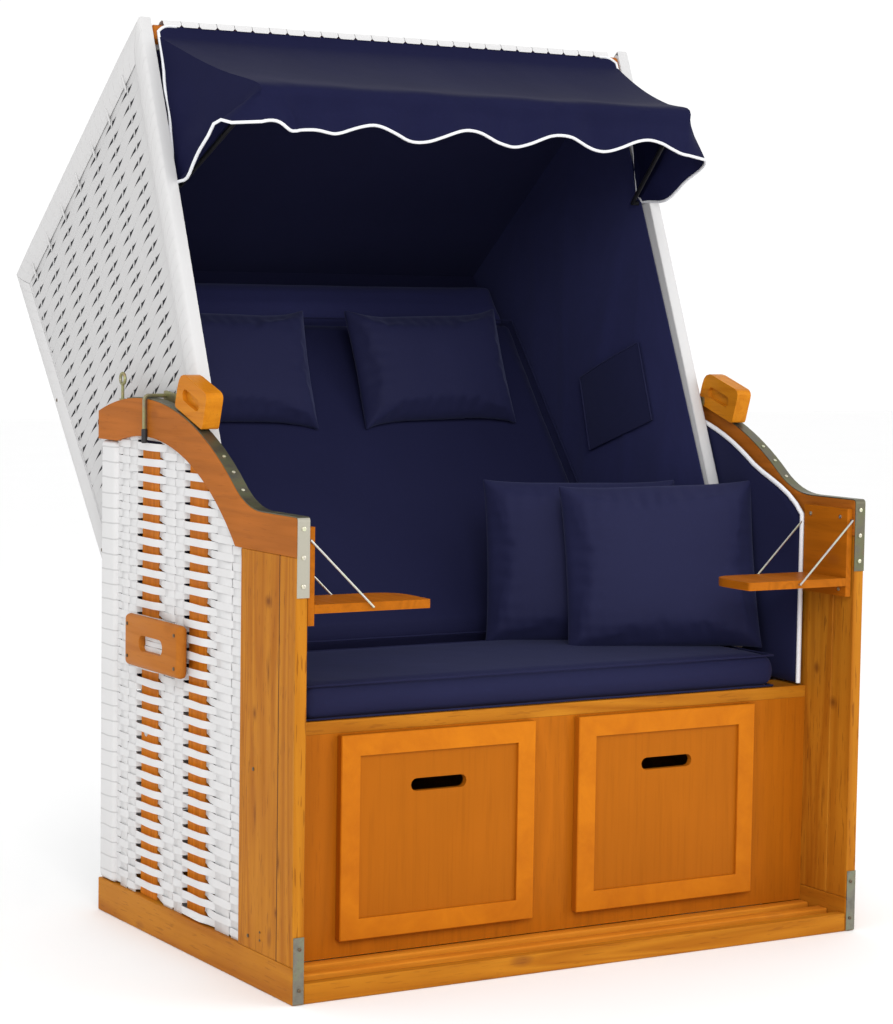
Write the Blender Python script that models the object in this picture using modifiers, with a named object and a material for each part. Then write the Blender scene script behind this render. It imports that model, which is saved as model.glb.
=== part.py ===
"""Hooded wicker beach chair: a wooden and woven basket, a tilting hood, fold-down tables and footrests."""
import math

import bmesh
import bpy
from mathutils import Matrix, Vector

# Gaps, edges and cuts
clearance = 0.0003
cut_overrun = 0.010
weld = 0.00001
board_edge = 0.0015
soft_edge = 0.004

# Basket: depths are measured back from its front plane, heights from the floor
basket_width = 1.200
basket_depth = 0.810
board = 0.022
base_height = 0.063
front_board_height = 0.034
corner_board_width = 0.060
wide_board_width = 0.145
arm_height = 0.818
rail_thickness = 0.025
rail_end_height = 0.066
rail_nose = 0.006
rail_climb = 0.110
rail_dip = 0.050
rail_overhang = 0.009
rail_depth = 0.106
rail_tail_drop = 0.0145
crown_rise = 0.174
under_forward = 0.013
under_rise = 0.0365

# Hood axle, low in the basket: the arm rails are arcs about it
axle_back = 0.625
axle_height = 0.370
arc_front_angle = 38.3
pin_radius = 0.008
pin_boss_radius = 0.020
pin_boss = 0.006

# Woven sides and the wooden slats behind them
weave = 0.013
weave_set_in = 0.001
slat_width = 0.072
front_slat_back = 0.368
rear_slat_back = 0.572
rear_weave_height = 0.420
lining = 0.012
lining_gap = 0.037
lining_lift = 0.003
lining_set_down = 0.025
lining_fall = 0.210
lining_tail = 0.780

# Carry handles
handle_length = 0.269
handle_height = 0.096
handle_thickness = 0.021
handle_front = 0.414
handle_foot = 0.497
handle_round = 0.012
handle_slot_length = 0.102
handle_slot_height = 0.026

# Steel on the arm rails
strip = 0.0015
strip_width = 0.023
strip_fold = 0.133
strip_tail = 0.690
bracket_height = 0.115
bracket_width = 0.020
eye_back = 0.729
eye_set_in = 0.010
eye_ring = 0.0105
eye_wire = 0.0030
eye_lift = 0.040
eye_collar = 0.0062
eye_collar_height = 0.003

# Seat box, its deck and cushion
seat_front_back = 0.138
seat_front_board = 0.020
seat_front_foot = 0.0345
deck_height = 0.452
deck_ear_depth = 0.087
deck_margin = 0.085
deck_depth = 0.480
seat_cushion_margin = 0.092
seat_cushion_depth = 0.416
seat_cushion_height = 0.064
floor_slat_width = 0.036
floor_slat_height = 0.018
floor_slat_gap = 0.011

# Footrests
footrest_inner = 0.047
footrest_width = 0.398
footrest_top_gap = 0.003
footrest_foot = 0.066
footrest_board = 0.018
footrest_frame = 0.037
footrest_recess = 0.006
footrest_slot_length = 0.114
footrest_slot_height = 0.023
footrest_slot_drop = 0.109
footrest_margin = 0.013
footrest_depth = 0.460
footrest_wall = 0.012

# Tables that hang from a plate on each arm
plate_front = 0.006
plate_width = 0.128
plate_thickness = 0.012
plate_drop = 0.181
plate_height = 0.165
table_length = 0.225
table_thickness = 0.015
table_rise = 0.020
table_round = 0.060
stay_radius = 0.002
stay_rise = 0.143
stay_reach = 0.110
stay_tip = 0.0025

# Hood: set back from a line square to the front posts through the axle, heights along those posts
hood_set_in = 0.047
hood_side = 0.025
hood_lean = 22.0
hood_front = 0.382
hood_height = 1.2785
hood_corner_back = 0.358
hood_corner_height = 1.0635
hood_heel_back = 0.025
hood_heel_drop = 0.022
hood_front_foot = 0.012
hood_corner_round = 0.045
hood_end_round = 0.012
rim_width = 0.045
rim_recess = 0.003
shell = 0.016
shell_set_in = 0.002
top_rail = 0.030
hood_lining = 0.003
back_pad = 0.030

# Cushions of the hood: places are measured up the slope of its back from the heel
back_cushion_foot = 0.125
back_cushion_length = 0.800
back_cushion_height = 0.085
soft_margin = 0.085
head_cushion_length = 0.095
head_cushion_height = 0.072
neck_margin = 0.080
neck_length = 0.285
neck_height = 0.100
neck_gap = 0.070
neck_foot = 0.640
neck_settle = 0.0020

edge_run = 0.022

# Loose pillows on the seat
pillow_width = 0.368
pillow_length = 0.325
pillow_height = 0.095
pillow_turn = 27.0
pillow_tilt = 14.0
front_pillow_margin = 0.163
front_pillow_back = 0.355
rear_pillow_margin = 0.228
rear_pillow_back = 0.500
rear_pillow_settle = 0.0005

# Latches that ride on the arm rails
hook_radius = 0.004
hook_lead = 2.55
hook_ride = 0.0004
hook_drop = 0.084
hook_stand_off = 0.001
lever = 0.004
lever_height = 0.018
lever_set_out = 0.0055
grip_lead = 18.2
grip_length = 0.120
grip_height = 0.068
grip_thickness = 0.033
grip_ride = 0.0009
grip_round = 0.014
grip_groove_length = 0.072
grip_groove_height = 0.022
grip_groove_depth = 0.008

# Awning and its bow
bow_radius = 0.005
bow_margin = 0.145
bow_axle_set_back = 0.030
bow_axle_drop = 0.3265
bow_corner = 0.040
awning_reach = 0.263
awning_drop = 0.2555
awning_cloth = 0.0016
awning_margin = 0.130
awning_top_margin = 0.082
valance = 0.078
scallop = 0.012
awning_fold = 0.006
scallops = 7

# Shares chosen by hand
full_share = 1.0
pillow_edge_share = 0.10
cushion_edge_share = 0.93
draw_share = 0.055
cushion_draw_share = 0.008
gusset_root_share = 0.06
roof_sag_share = 0.06

front_y = -basket_depth / 2
half_width = basket_width / 2
inner_face = half_width - board
rail_inner = half_width - rail_thickness
weave_outer = half_width - weave_set_in
weave_inner = weave_outer - weave
slat_outer = weave_inner - clearance
lining_outer = rail_inner - clearance
lining_inner = lining_outer - lining
hood_half_width = half_width - hood_set_in
soft_width = basket_width - soft_margin * 2
seat_cushion_width = basket_width - seat_cushion_margin * 2
deck_half_width = half_width - deck_margin
neck_width = (soft_width - neck_margin * 2 - neck_gap) / 2
neck_aside = (neck_width + neck_gap) / 2
front_pillow_aside = seat_cushion_width / 2 - front_pillow_margin
rear_pillow_aside = seat_cushion_width / 2 - rear_pillow_margin
bow_half_width = half_width - bow_margin
awning_half_width = half_width - awning_margin
awning_top_half_width = half_width - awning_top_margin
footrest_height = deck_height - board - footrest_top_gap - footrest_foot
footrest_slot_foot = footrest_foot + footrest_height - footrest_slot_drop
lining_foot = deck_height + lining_lift
rail_under = arm_height - rail_end_height
rail_radius = arm_height + crown_rise - axle_height
under_radius = rail_radius - rail_depth
rail_tail_height = axle_height + under_rise + under_radius - rail_tail_drop
lining_radius = rail_radius - lining_set_down
plate_foot = arm_height - plate_drop
table_foot = plate_foot + table_rise
stay_height = plate_foot + stay_rise
bow_axle_height = hood_height - bow_axle_drop
lean = math.radians(hood_lean)
axle_y = front_y + axle_back
hood_inner = hood_half_width - hood_side
bow_axle_half_width = hood_inner - hood_lining - clearance * 2

materials = {}


def material(name, colour, roughness, metallic=0.0):
    made = bpy.data.materials.new(name)
    made.use_nodes = True
    surface = made.node_tree.nodes["Principled BSDF"]
    surface.inputs["Base Color"].default_value = (*colour, 1.0)
    surface.inputs["Roughness"].default_value = roughness
    surface.inputs["Metallic"].default_value = metallic
    materials[name] = made


def make_materials():
    material("varnished_wood", (0.62, 0.22, 0.03), 0.38)
    material("white_wicker", (0.83, 0.83, 0.82), 0.50)
    material("navy_cloth", (0.012, 0.016, 0.055), 0.85)
    material("plated_steel", (0.62, 0.60, 0.48), 0.35, 1.0)


def empty_scene():
    for old in list(bpy.data.objects):
        bpy.data.objects.remove(old, do_unlink=True)


def named_collection(name):
    made = bpy.data.collections.new(name)
    bpy.context.scene.collection.children.link(made)
    return made


def move_to(thing, collection):
    for holder in list(thing.users_collection):
        holder.objects.unlink(thing)
    collection.objects.link(thing)


def settle(thing):
    """Turn an object and its modifiers into a plain mesh object with its transform applied."""
    bpy.context.view_layer.update()
    graph = bpy.context.evaluated_depsgraph_get()
    mesh = bpy.data.meshes.new_from_object(thing.evaluated_get(graph))
    mesh.transform(thing.matrix_world)
    shape = bmesh.new()
    shape.from_mesh(mesh)
    bmesh.ops.remove_doubles(shape, verts=shape.verts, dist=weld)
    bmesh.ops.recalc_face_normals(shape, faces=shape.faces)
    shape.to_mesh(mesh)
    shape.free()
    made = bpy.data.objects.new(thing.name + "_solid", mesh)
    bpy.context.scene.collection.objects.link(made)
    bpy.data.objects.remove(thing, do_unlink=True)
    return made


def finish(thing, name, look, parent=None, smooth=False):
    """Name a solid, give it its material and hang it on its joint's empty, if it has one."""
    thing.name = name
    thing.data.name = name
    thing.data.materials.clear()
    thing.data.materials.append(materials[look])
    if smooth:
        thing.data.shade_smooth()
        thing.data.set_sharp_from_angle(angle=math.radians(35))
    if parent is not None:
        thing.parent = parent
    move_to(thing, parts)
    return thing


def bevelled(thing, width, segments=1):
    edge = thing.modifiers.new("edges", "BEVEL")
    edge.width = width
    edge.segments = segments
    edge.limit_method = "ANGLE"
    return settle(thing)


def box(low, high, edge=board_edge):
    """A box between two corners, with its edges eased."""
    size = [b - a for a, b in zip(low, high)]
    middle = [(a + b) / 2 for a, b in zip(low, high)]
    bpy.ops.mesh.primitive_cube_add(size=1, location=middle)
    thing = bpy.context.object
    thing.scale = size
    bpy.ops.object.transform_apply(location=False, rotation=False, scale=True)
    if edge:
        return bevelled(thing, edge)
    return settle(thing)


def span(side, inner, outer):
    """The X range of a piece between two distances from the middle, on one side."""
    return (inner, outer) if side > 0 else (-outer, -inner)


def side_box(side, inner, outer, near, far, foot, top, edge=board_edge):
    x0, x1 = span(side, inner, outer)
    return box((x0, front_y + near, foot), (x1, front_y + far, top), edge)


def plate_from(points, low_x, high_x):
    """A flat solid with its outline in the Y-Z plane, between two X places."""
    curve = bpy.data.curves.new("outline", "CURVE")
    curve.dimensions = "2D"
    curve.fill_mode = "BOTH"
    curve.extrude = (high_x - low_x) / 2
    run = curve.splines.new("POLY")
    run.points.add(len(points) - 1)
    for spot, (y, z) in zip(run.points, points):
        spot.co = (y, z, 0, full_share)
    run.use_cyclic_u = True
    thing = bpy.data.objects.new("outline", curve)
    bpy.context.scene.collection.objects.link(thing)
    thing.rotation_euler = (math.pi / 2, 0, math.pi / 2)
    thing.location = ((low_x + high_x) / 2, 0, 0)
    return settle(thing)


def tube(points, radius, sides=2):
    """A round wire along a polyline, with closed ends."""
    curve = bpy.data.curves.new("wire", "CURVE")
    curve.dimensions = "3D"
    curve.bevel_depth = radius
    curve.bevel_resolution = sides
    curve.use_fill_caps = True
    run = curve.splines.new("POLY")
    run.points.add(len(points) - 1)
    for spot, place in zip(run.points, points):
        spot.co = (*place, full_share)
    thing = bpy.data.objects.new("wire", curve)
    bpy.context.scene.collection.objects.link(thing)
    return settle(thing)


def cylinder_x(radius, low_x, high_x, y, z, sides=24):
    bpy.ops.mesh.primitive_cylinder_add(
        vertices=sides, radius=radius, depth=high_x - low_x,
        location=((low_x + high_x) / 2, y, z), rotation=(0, math.pi / 2, 0),
    )
    return settle(bpy.context.object)


def combine(thing, other, operation):
    """Join another solid to one, or cut it away, with an exact Boolean."""
    change = thing.modifiers.new("cut", "BOOLEAN")
    change.operation = operation
    change.solver = "EXACT"
    change.object = other
    other.hide_render = True
    other.display_type = "WIRE"
    move_to(other, cutters)
    made = settle(thing)
    bpy.data.objects.remove(other, do_unlink=True)
    return made


def empty_at(name, place, parent=None):
    made = bpy.data.objects.new(name, None)
    made.location = place
    made.parent = parent
    parts.objects.link(made)
    return made


def shift(thing, offset):
    thing.data.transform(Matrix.Translation(Vector(offset)))
    return thing


def arc(centre, radius, start, stop, steps):
    """Points on a circle in the Y-Z plane; angles in degrees from straight up, positive to the back."""
    points = []
    for step in range(steps + 1):
        angle = math.radians(start + (stop - start) * step / steps)
        points.append((centre[0] + radius * math.sin(angle), centre[1] + radius * math.cos(angle)))
    return points


def bend(start, middle, stop, steps):
    """Points on a curve that leaves start towards middle and arrives at stop from it."""
    points = []
    for step in range(1, steps):
        t = step / steps
        points.append(tuple(
            (1 - t) ** 2 * a + 2 * t * (1 - t) * m + t * t * b for a, m, b in zip(start, middle, stop)
        ))
    return points


def rounded(corners, radii, steps=5):
    """A closed outline with each corner rounded by its own radius."""
    points = []
    count = len(corners)
    for index, corner in enumerate(corners):
        here = Vector(corner)
        before = Vector(corners[index - 1]) - here
        after = Vector(corners[(index + 1) % count]) - here
        radius = radii[index]
        if not radius:
            points.append(tuple(here))
            continue
        half = before.angle(after) / 2
        run = radius / math.tan(half)
        start = here + before.normalized() * run
        stop = here + after.normalized() * run
        points.append(tuple(start))
        points.extend(bend(start, here, stop, steps))
        points.append(tuple(stop))
    return points


def offset_path(path, distance):
    """A path shifted to its left by a distance, square to its own direction at each point."""
    moved = []
    for index, (y, z) in enumerate(path):
        before = Vector(path[max(index - 1, 0)])
        after = Vector(path[min(index + 1, len(path) - 1)])
        along = (after - before).normalized()
        moved.append((y - along.y * distance, z + along.x * distance))
    return moved


def axle_point():
    return (axle_y, axle_height)


def rail_top(tail):
    """The upper edge of the arm rail from its nose back to a distance behind the front plane."""
    nose = [
        (front_y, arm_height - rail_nose),
        *bend((front_y, arm_height - rail_nose), (front_y, arm_height), (front_y + rail_nose, arm_height), 4),
        (front_y + rail_nose, arm_height),
    ]
    tail_angle = math.degrees(math.asin((tail - axle_back) / rail_radius))
    crown = arc(axle_point(), rail_radius, -arc_front_angle, tail_angle, 22)
    climb = (crown[0][0] - rail_climb, arm_height)
    dip = (crown[0][0] - rail_dip, arm_height)
    return [*nose, climb, *bend(climb, dip, crown[0], 8), *crown]


def rail_underside(gap=0.0):
    """The lower edge of the arm rail from its tail forward to its flat front end."""
    centre = (axle_y - under_forward, axle_height + under_rise)
    radius = under_radius - gap
    tail = math.degrees(math.acos((rail_tail_height - gap - centre[1]) / radius))
    front = math.degrees(math.acos((rail_under - gap - centre[1]) / radius))
    return arc(centre, radius, tail, -front, 20)


def arm_rail(side, name):
    tail = front_y + basket_depth + rail_overhang
    outline = [
        (front_y, rail_under),
        *rail_top(basket_depth + rail_overhang),
        (tail, rail_tail_height),
        *rail_underside(),
    ]
    solid = plate_from(outline, *span(side, rail_inner, half_width))
    return finish(bevelled(solid, board_edge), name, "varnished_wood", smooth=True)


def latch_strip(side, name):
    path = [(front_y, arm_height - strip_fold), *rail_top(strip_tail)]
    outline = offset_path(path, clearance) + offset_path(path, clearance + strip)[::-1]
    inner = half_width - (rail_thickness + strip_width) / 2
    solid = plate_from(outline, *span(side, inner, inner + strip_width))
    return finish(solid, name, "plated_steel", smooth=True)


def lower_bracket(side, name):
    inner = half_width - (board + bracket_width) / 2
    solid = side_box(side, inner, inner + bracket_width, -clearance - strip, -clearance,
                     strip, bracket_height, 0)
    return finish(solid, name, "plated_steel")


def eye_bolt(side, name):
    """A ring on a shank that stands on a collar on the arm rail."""
    x = side * (half_width - eye_set_in)
    y = front_y + eye_back
    foot = axle_height + math.sqrt(rail_radius ** 2 - (y - axle_y) ** 2) + clearance
    foot = foot + eye_wire / 4
    ring_height = foot + eye_lift
    bpy.ops.mesh.primitive_torus_add(
        major_segments=20, minor_segments=6, major_radius=eye_ring, minor_radius=eye_wire,
        location=(x, y, ring_height), rotation=(0, math.pi / 2, 0),
    )
    ring = settle(bpy.context.object)
    bpy.ops.mesh.primitive_cylinder_add(
        vertices=12, radius=eye_wire, depth=eye_lift - eye_ring,
        location=(x, y, foot + (eye_lift - eye_ring) / 2),
    )
    shank = settle(bpy.context.object)
    bpy.ops.mesh.primitive_cylinder_add(
        vertices=16, radius=eye_collar, depth=eye_collar_height,
        location=(x, y, foot + eye_collar_height / 2),
    )
    collar = settle(bpy.context.object)
    solid = combine(ring, combine(shank, collar, "UNION"), "UNION")
    return finish(solid, name, "plated_steel", smooth=True)


def basket_boards():
    back = basket_depth
    wide_back = corner_board_width + wide_board_width
    for side, tag in ((-1, "l"), (1, "r")):
        solid = side_box(side, inner_face, half_width, 0, back, 0, base_height)
        finish(solid, "base_side_board_" + tag, "varnished_wood")
        solid = side_box(side, inner_face, half_width, 0, corner_board_width - clearance,
                         base_height + clearance, rail_under - clearance)
        finish(solid, "corner_board_" + tag, "varnished_wood")
        solid = side_box(side, inner_face, half_width, corner_board_width, wide_back,
                         base_height + clearance, rail_under - clearance)
        finish(solid, "wide_board_" + tag, "varnished_wood")
    inner = inner_face - clearance
    solid = box((-inner, front_y, 0), (inner, front_y + board, front_board_height))
    finish(solid, "base_front_board", "varnished_wood")
    solid = box((-inner, front_y + back - board, 0), (inner, front_y + back, base_height))
    finish(solid, "base_back_board", "varnished_wood")
    near = board + floor_slat_gap
    for tag in ("front", "rear"):
        solid = box((-inner, front_y + near, front_board_height - floor_slat_height),
                    (inner, front_y + near + floor_slat_width, front_board_height))
        finish(solid, "floor_slat_" + tag, "varnished_wood")
        near = near + floor_slat_width + floor_slat_gap


def side_slats():
    for side, tag in ((-1, "l"), (1, "r")):
        for place, near in (("front", front_slat_back), ("rear", rear_slat_back)):
            top = rail_tail_height - clearance * 2
            solid = side_box(side, rail_inner, slat_outer, near, near + slat_width,
                             base_height + clearance, top, 0)
            solid = slat_under_rail(solid, side)
            if place == "rear":
                x0, x1 = span(side, rail_inner - cut_overrun, slat_outer + cut_overrun)
                hole = cylinder_x(pin_radius + clearance, x0, x1, axle_y, axle_height)
                solid = combine(solid, hole, "DIFFERENCE")
            finish(solid, "side_slat_" + place + "_" + tag, "varnished_wood")


def slat_under_rail(solid, side):
    """Trim a slat's head to the curve of the arm rail above it."""
    above = [*rail_underside(clearance)]
    top = arm_height + rail_radius
    outline = [*above, (above[-1][0], top), (above[0][0], top)]
    x0, x1 = span(side, rail_inner - cut_overrun, half_width + cut_overrun)
    return combine(solid, plate_from(outline, x0, x1), "DIFFERENCE")


def side_weave(side, name):
    near = corner_board_width + wide_board_width + clearance
    tail = front_y + basket_depth
    outline = [
        (front_y + near, base_height + clearance),
        (tail, base_height + clearance),
        (tail, rail_tail_height - clearance),
        *rail_underside(clearance),
        (front_y + near, rail_under - clearance),
    ]
    solid = plate_from(outline, *span(side, weave_inner, weave_outer))
    return finish(solid, name, "white_wicker")


def rear_weave():
    half = weave_inner - clearance
    solid = box((-half, -front_y - weave, base_height + clearance), (half, -front_y, rear_weave_height))
    return finish(solid, "rear_weave", "white_wicker")


def side_lining(side, name):
    """The cloth panel inside each arm: it stands up behind the plate and then follows the rail's arc."""
    # Its front edge stands behind the plate, and no further forward than where the arc has fallen
    reach = math.sqrt(lining_radius ** 2 - (lining_radius - lining_fall) ** 2)
    near = max(front_y + plate_front + plate_width + lining_gap, axle_y - reach)
    front = math.degrees(math.asin((near - axle_y) / lining_radius))
    tail_y = front_y + lining_tail
    back = math.degrees(math.asin((tail_y - axle_y) / lining_radius))
    crown = arc(axle_point(), lining_radius, front, back, 18)
    outline = [(near, lining_foot), *crown, (tail_y, lining_foot)]
    solid = plate_from(outline, *span(side, lining_inner, lining_outer))
    return finish(bevelled(solid, soft_edge / 2), name, "navy_cloth", smooth=True)


def carry_handle(side, name):
    """A rounded wooden block with a finger slot, screwed to the woven side."""
    near = front_y + handle_front
    far = near + handle_length
    top = handle_foot + handle_height
    outline = rounded([(near, handle_foot), (far, handle_foot), (far, top), (near, top)], [handle_round] * 4, 3)
    inner = weave_outer + clearance
    solid = plate_from(outline, *span(side, inner, inner + handle_thickness))
    solid = bevelled(solid, board_edge)
    slot = slot_outline((near + far) / 2, (handle_foot + top) / 2, handle_slot_length, handle_slot_height)
    x0, x1 = span(side, inner - cut_overrun, inner + handle_thickness + cut_overrun)
    return finish(combine(solid, plate_from(slot, x0, x1), "DIFFERENCE"), name, "varnished_wood", smooth=True)


def slot_outline(middle, height, length, width):
    """A slot with round ends, in the plane of its outline."""
    radius = width / 2
    straight = length / 2 - radius
    right = arc((middle + straight, height), radius, 0, 180, 6)
    left = arc((middle - straight, height), radius, 180, 360, 6)
    return right + left


def seat_box():
    near = front_y + seat_front_back
    inner = inner_face - clearance
    under = deck_height - board
    front = box((-inner, near, seat_front_foot), (inner, near + seat_front_board, under - clearance), 0)
    for side in (-1, 1):
        x0, x1 = span(side, footrest_inner + footrest_margin - clearance * 3,
                      footrest_inner + footrest_width - footrest_margin + clearance * 3)
        low = footrest_foot + footrest_margin - clearance * 3
        high = footrest_foot + footrest_height - footrest_margin + clearance * 3
        hole = box((x0, near - cut_overrun, low), (x1, near + seat_front_board + cut_overrun, high), 0)
        front = combine(front, hole, "DIFFERENCE")
    finish(front, "seat_front_board", "varnished_wood")
    # The middle board stands on the floor and carries the deck
    solid = box((-board / 2, near + seat_front_board + clearance, 0),
                (board / 2, near + deck_depth, under - clearance))
    finish(solid, "seat_partition", "varnished_wood")
    ear = near + deck_ear_depth
    outline = [(near, -inner), (ear, -inner), (ear, -deck_half_width), (near + deck_depth, -deck_half_width),
               (near + deck_depth, deck_half_width), (ear, deck_half_width), (ear, inner), (near, inner)]
    finish(lying_plate(outline, under, deck_height), "seat_deck", "varnished_wood")


def lying_plate(points, low, high):
    """A flat solid with its outline in the floor's plane, given as Y and X, between two heights."""
    curve = bpy.data.curves.new("outline", "CURVE")
    curve.dimensions = "2D"
    curve.fill_mode = "BOTH"
    curve.extrude = (high - low) / 2
    run = curve.splines.new("POLY")
    run.points.add(len(points) - 1)
    for spot, (y, x) in zip(run.points, points):
        spot.co = (x, y, 0, full_share)
    run.use_cyclic_u = True
    thing = bpy.data.objects.new("outline", curve)
    bpy.context.scene.collection.objects.link(thing)
    thing.location = (0, 0, (low + high) / 2)
    return settle(thing)


def footrest(side, tag):
    """A drawer-like footrest: a framed front with a hand slot and an open box behind it."""
    x0, x1 = span(side, footrest_inner, footrest_inner + footrest_width)
    back = front_y + seat_front_back - clearance
    face = back - footrest_board
    top = footrest_foot + footrest_height
    front = box((x0, face, footrest_foot), (x1, back, top))
    recess = box((x0 + footrest_frame, face - cut_overrun, footrest_foot + footrest_frame),
                 (x1 - footrest_frame, face + footrest_recess, top - footrest_frame), 0)
    front = combine(front, recess, "DIFFERENCE")
    slot = slot_outline((x0 + x1) / 2, footrest_slot_foot + footrest_slot_height / 2,
                        footrest_slot_length, footrest_slot_height)
    cutter = plate_from(slot, -back - cut_overrun, -face + cut_overrun)
    cutter.data.transform(Matrix.Rotation(-math.pi / 2, 4, "Z"))
    front = combine(front, cutter, "DIFFERENCE")
    finish(front, "footrest_front_" + tag, "varnished_wood")
    low_x, high_x = x0 + footrest_margin, x1 - footrest_margin
    low, high = footrest_foot + footrest_margin, top - footrest_margin
    near = back + clearance
    body = box((low_x, near, low), (high_x, near + footrest_depth, high), 0)
    inside = box((low_x + footrest_wall, near - cut_overrun, low - cut_overrun),
                 (high_x - footrest_wall, near + footrest_depth - footrest_wall, high - footrest_wall), 0)
    finish(combine(body, inside, "DIFFERENCE"), "footrest_box_" + tag, "varnished_wood")


def table_set(side, tag):
    """A plate on the arm's inner face, a board hinged at it and a wire stay that swings beside both."""
    far = plate_front + plate_width
    outer = lining_outer
    inner = outer - plate_thickness
    plate = side_box(side, inner, outer, plate_front, far, plate_foot, plate_foot + plate_height, 0)
    wire_x = outer - stay_radius * 1.3
    x0, x1 = span(side, wire_x - stay_radius - clearance, outer + cut_overrun)
    groove = box((x0, front_y + plate_front - cut_overrun, stay_height - stay_radius - clearance),
                 (x1, front_y + far + cut_overrun, stay_height + stay_radius + clearance), 0)
    finish(combine(plate, groove, "DIFFERENCE"), "table_plate_" + tag, "varnished_wood")
    # The board hangs from an axis at its lower edge, where it meets the plate
    hinge_x = inner - clearance
    near_y, far_y = front_y + plate_front, front_y + far
    corners = [(near_y, 0), (far_y, 0), (far_y, -table_length), (near_y, -table_length)]
    outline = rounded(corners, [0, 0, table_round, board_edge * 4], 7)
    axis = empty_at("table_axis_" + tag, (side * hinge_x, 0, table_foot))
    points = [(y, side * x) for y, x in outline]
    top = lying_plate(points, 0, table_thickness)
    finish(top, "table_board_" + tag, "varnished_wood", axis, smooth=True)
    # The stay's base lies in the plate's groove and its two legs end beside the board
    stay_axis = empty_at("stay_axis_" + tag, (side * wire_x, 0, stay_height))
    run = (wire_x - hinge_x) + stay_reach
    drop = stay_height - table_foot - table_thickness / 2
    out = clearance + stay_radius + stay_tip
    path = [
        (-side * run, near_y - clearance, -drop),
        (-side * run, near_y - out, -drop),
        (0, near_y - out, 0),
        (0, far_y + out, 0),
        (-side * run, far_y + out, -drop),
        (-side * run, far_y + clearance, -drop),
    ]
    finish(tube(path, stay_radius), "table_stay_" + tag, "plated_steel", stay_axis, smooth=True)


def hood_outline(inset=0.0):
    """The hood's side in its own frame: front post upright, roof falling to the corner, back to the heel."""
    corners = [
        (-hood_front, hood_front_foot),
        (-hood_front, hood_height),
        (hood_corner_back, hood_corner_height),
        (hood_heel_back, -hood_heel_drop),
    ]
    moved = []
    count = len(corners)
    for index, corner in enumerate(corners):
        here = Vector(corner)
        before = (here - Vector(corners[index - 1])).normalized()
        after = (Vector(corners[(index + 1) % count]) - here).normalized()
        side_in = Vector((before.y, -before.x))
        next_in = Vector((after.y, -after.x))
        bisector = (side_in + next_in).normalized()
        reach = inset / bisector.dot(side_in)
        moved.append(tuple(here + bisector * reach))
    return moved


def back_frame():
    """The slope of the hood's back: its heel, the direction up it and the direction into the hood."""
    heel = Vector((hood_heel_back, -hood_heel_drop))
    corner = Vector((hood_corner_back, hood_corner_height))
    up = (corner - heel).normalized()
    inward = Vector((-up.y, up.x))
    return heel, up, inward


def on_back(along, off):
    heel, up, inward = back_frame()
    spot = heel + up * along + inward * off
    return (spot.x, spot.y)


def hood_side_panel(side, name):
    radii = [hood_end_round, hood_end_round, hood_corner_round, hood_end_round]
    solid = plate_from(rounded(hood_outline(), radii), *span(side, hood_inner, hood_half_width))
    solid = bevelled(solid, soft_edge)
    field = rounded(hood_outline(rim_width), radii)
    for inner, outer in ((hood_half_width - rim_recess, hood_half_width + cut_overrun),
                         (hood_inner - cut_overrun, hood_inner + rim_recess)):
        solid = combine(solid, plate_from(field, *span(side, inner, outer)), "DIFFERENCE")
    reach = hood_half_width - rim_recess * 2
    boss = cylinder_x(pin_boss_radius, *span(side, reach, hood_half_width + pin_boss), 0, 0)
    solid = combine(solid, boss, "UNION")
    pin = cylinder_x(pin_radius, *span(side, reach, slat_outer - clearance), 0, 0)
    return finish(combine(solid, pin, "UNION"), name, "white_wicker", hood_axis, smooth=True)


def hood_shell():
    """The woven roof and back, one bent panel between the hood's sides."""
    outer = hood_outline(shell_set_in)
    inner = hood_outline(shell_set_in + shell)
    front = -hood_front + top_rail + clearance
    slope = (outer[2][1] - outer[1][1]) / (outer[2][0] - outer[1][0])
    outline = [
        (front, outer[1][1] + slope * (front - outer[1][0])),
        *rounded([outer[1], outer[2], outer[3]], [0, hood_corner_round, 0])[1:-1],
        outer[3],
        inner[3],
        inner[2],
        (front, inner[1][1] + slope * (front - inner[1][0])),
    ]
    half = hood_inner - clearance
    return finish(plate_from(outline, -half, half), "hood_shell", "white_wicker", hood_axis, smooth=True)


def hood_top_rail():
    half = hood_inner - clearance
    roof_fall = (hood_height - hood_corner_height) / (hood_front + hood_corner_back)
    high = hood_height - shell_set_in - top_rail * roof_fall
    solid = box((-half, -hood_front, high - top_rail), (half, -hood_front + top_rail, high), soft_edge)
    return finish(solid, "hood_top_rail", "varnished_wood", hood_axis, smooth=True)


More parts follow.
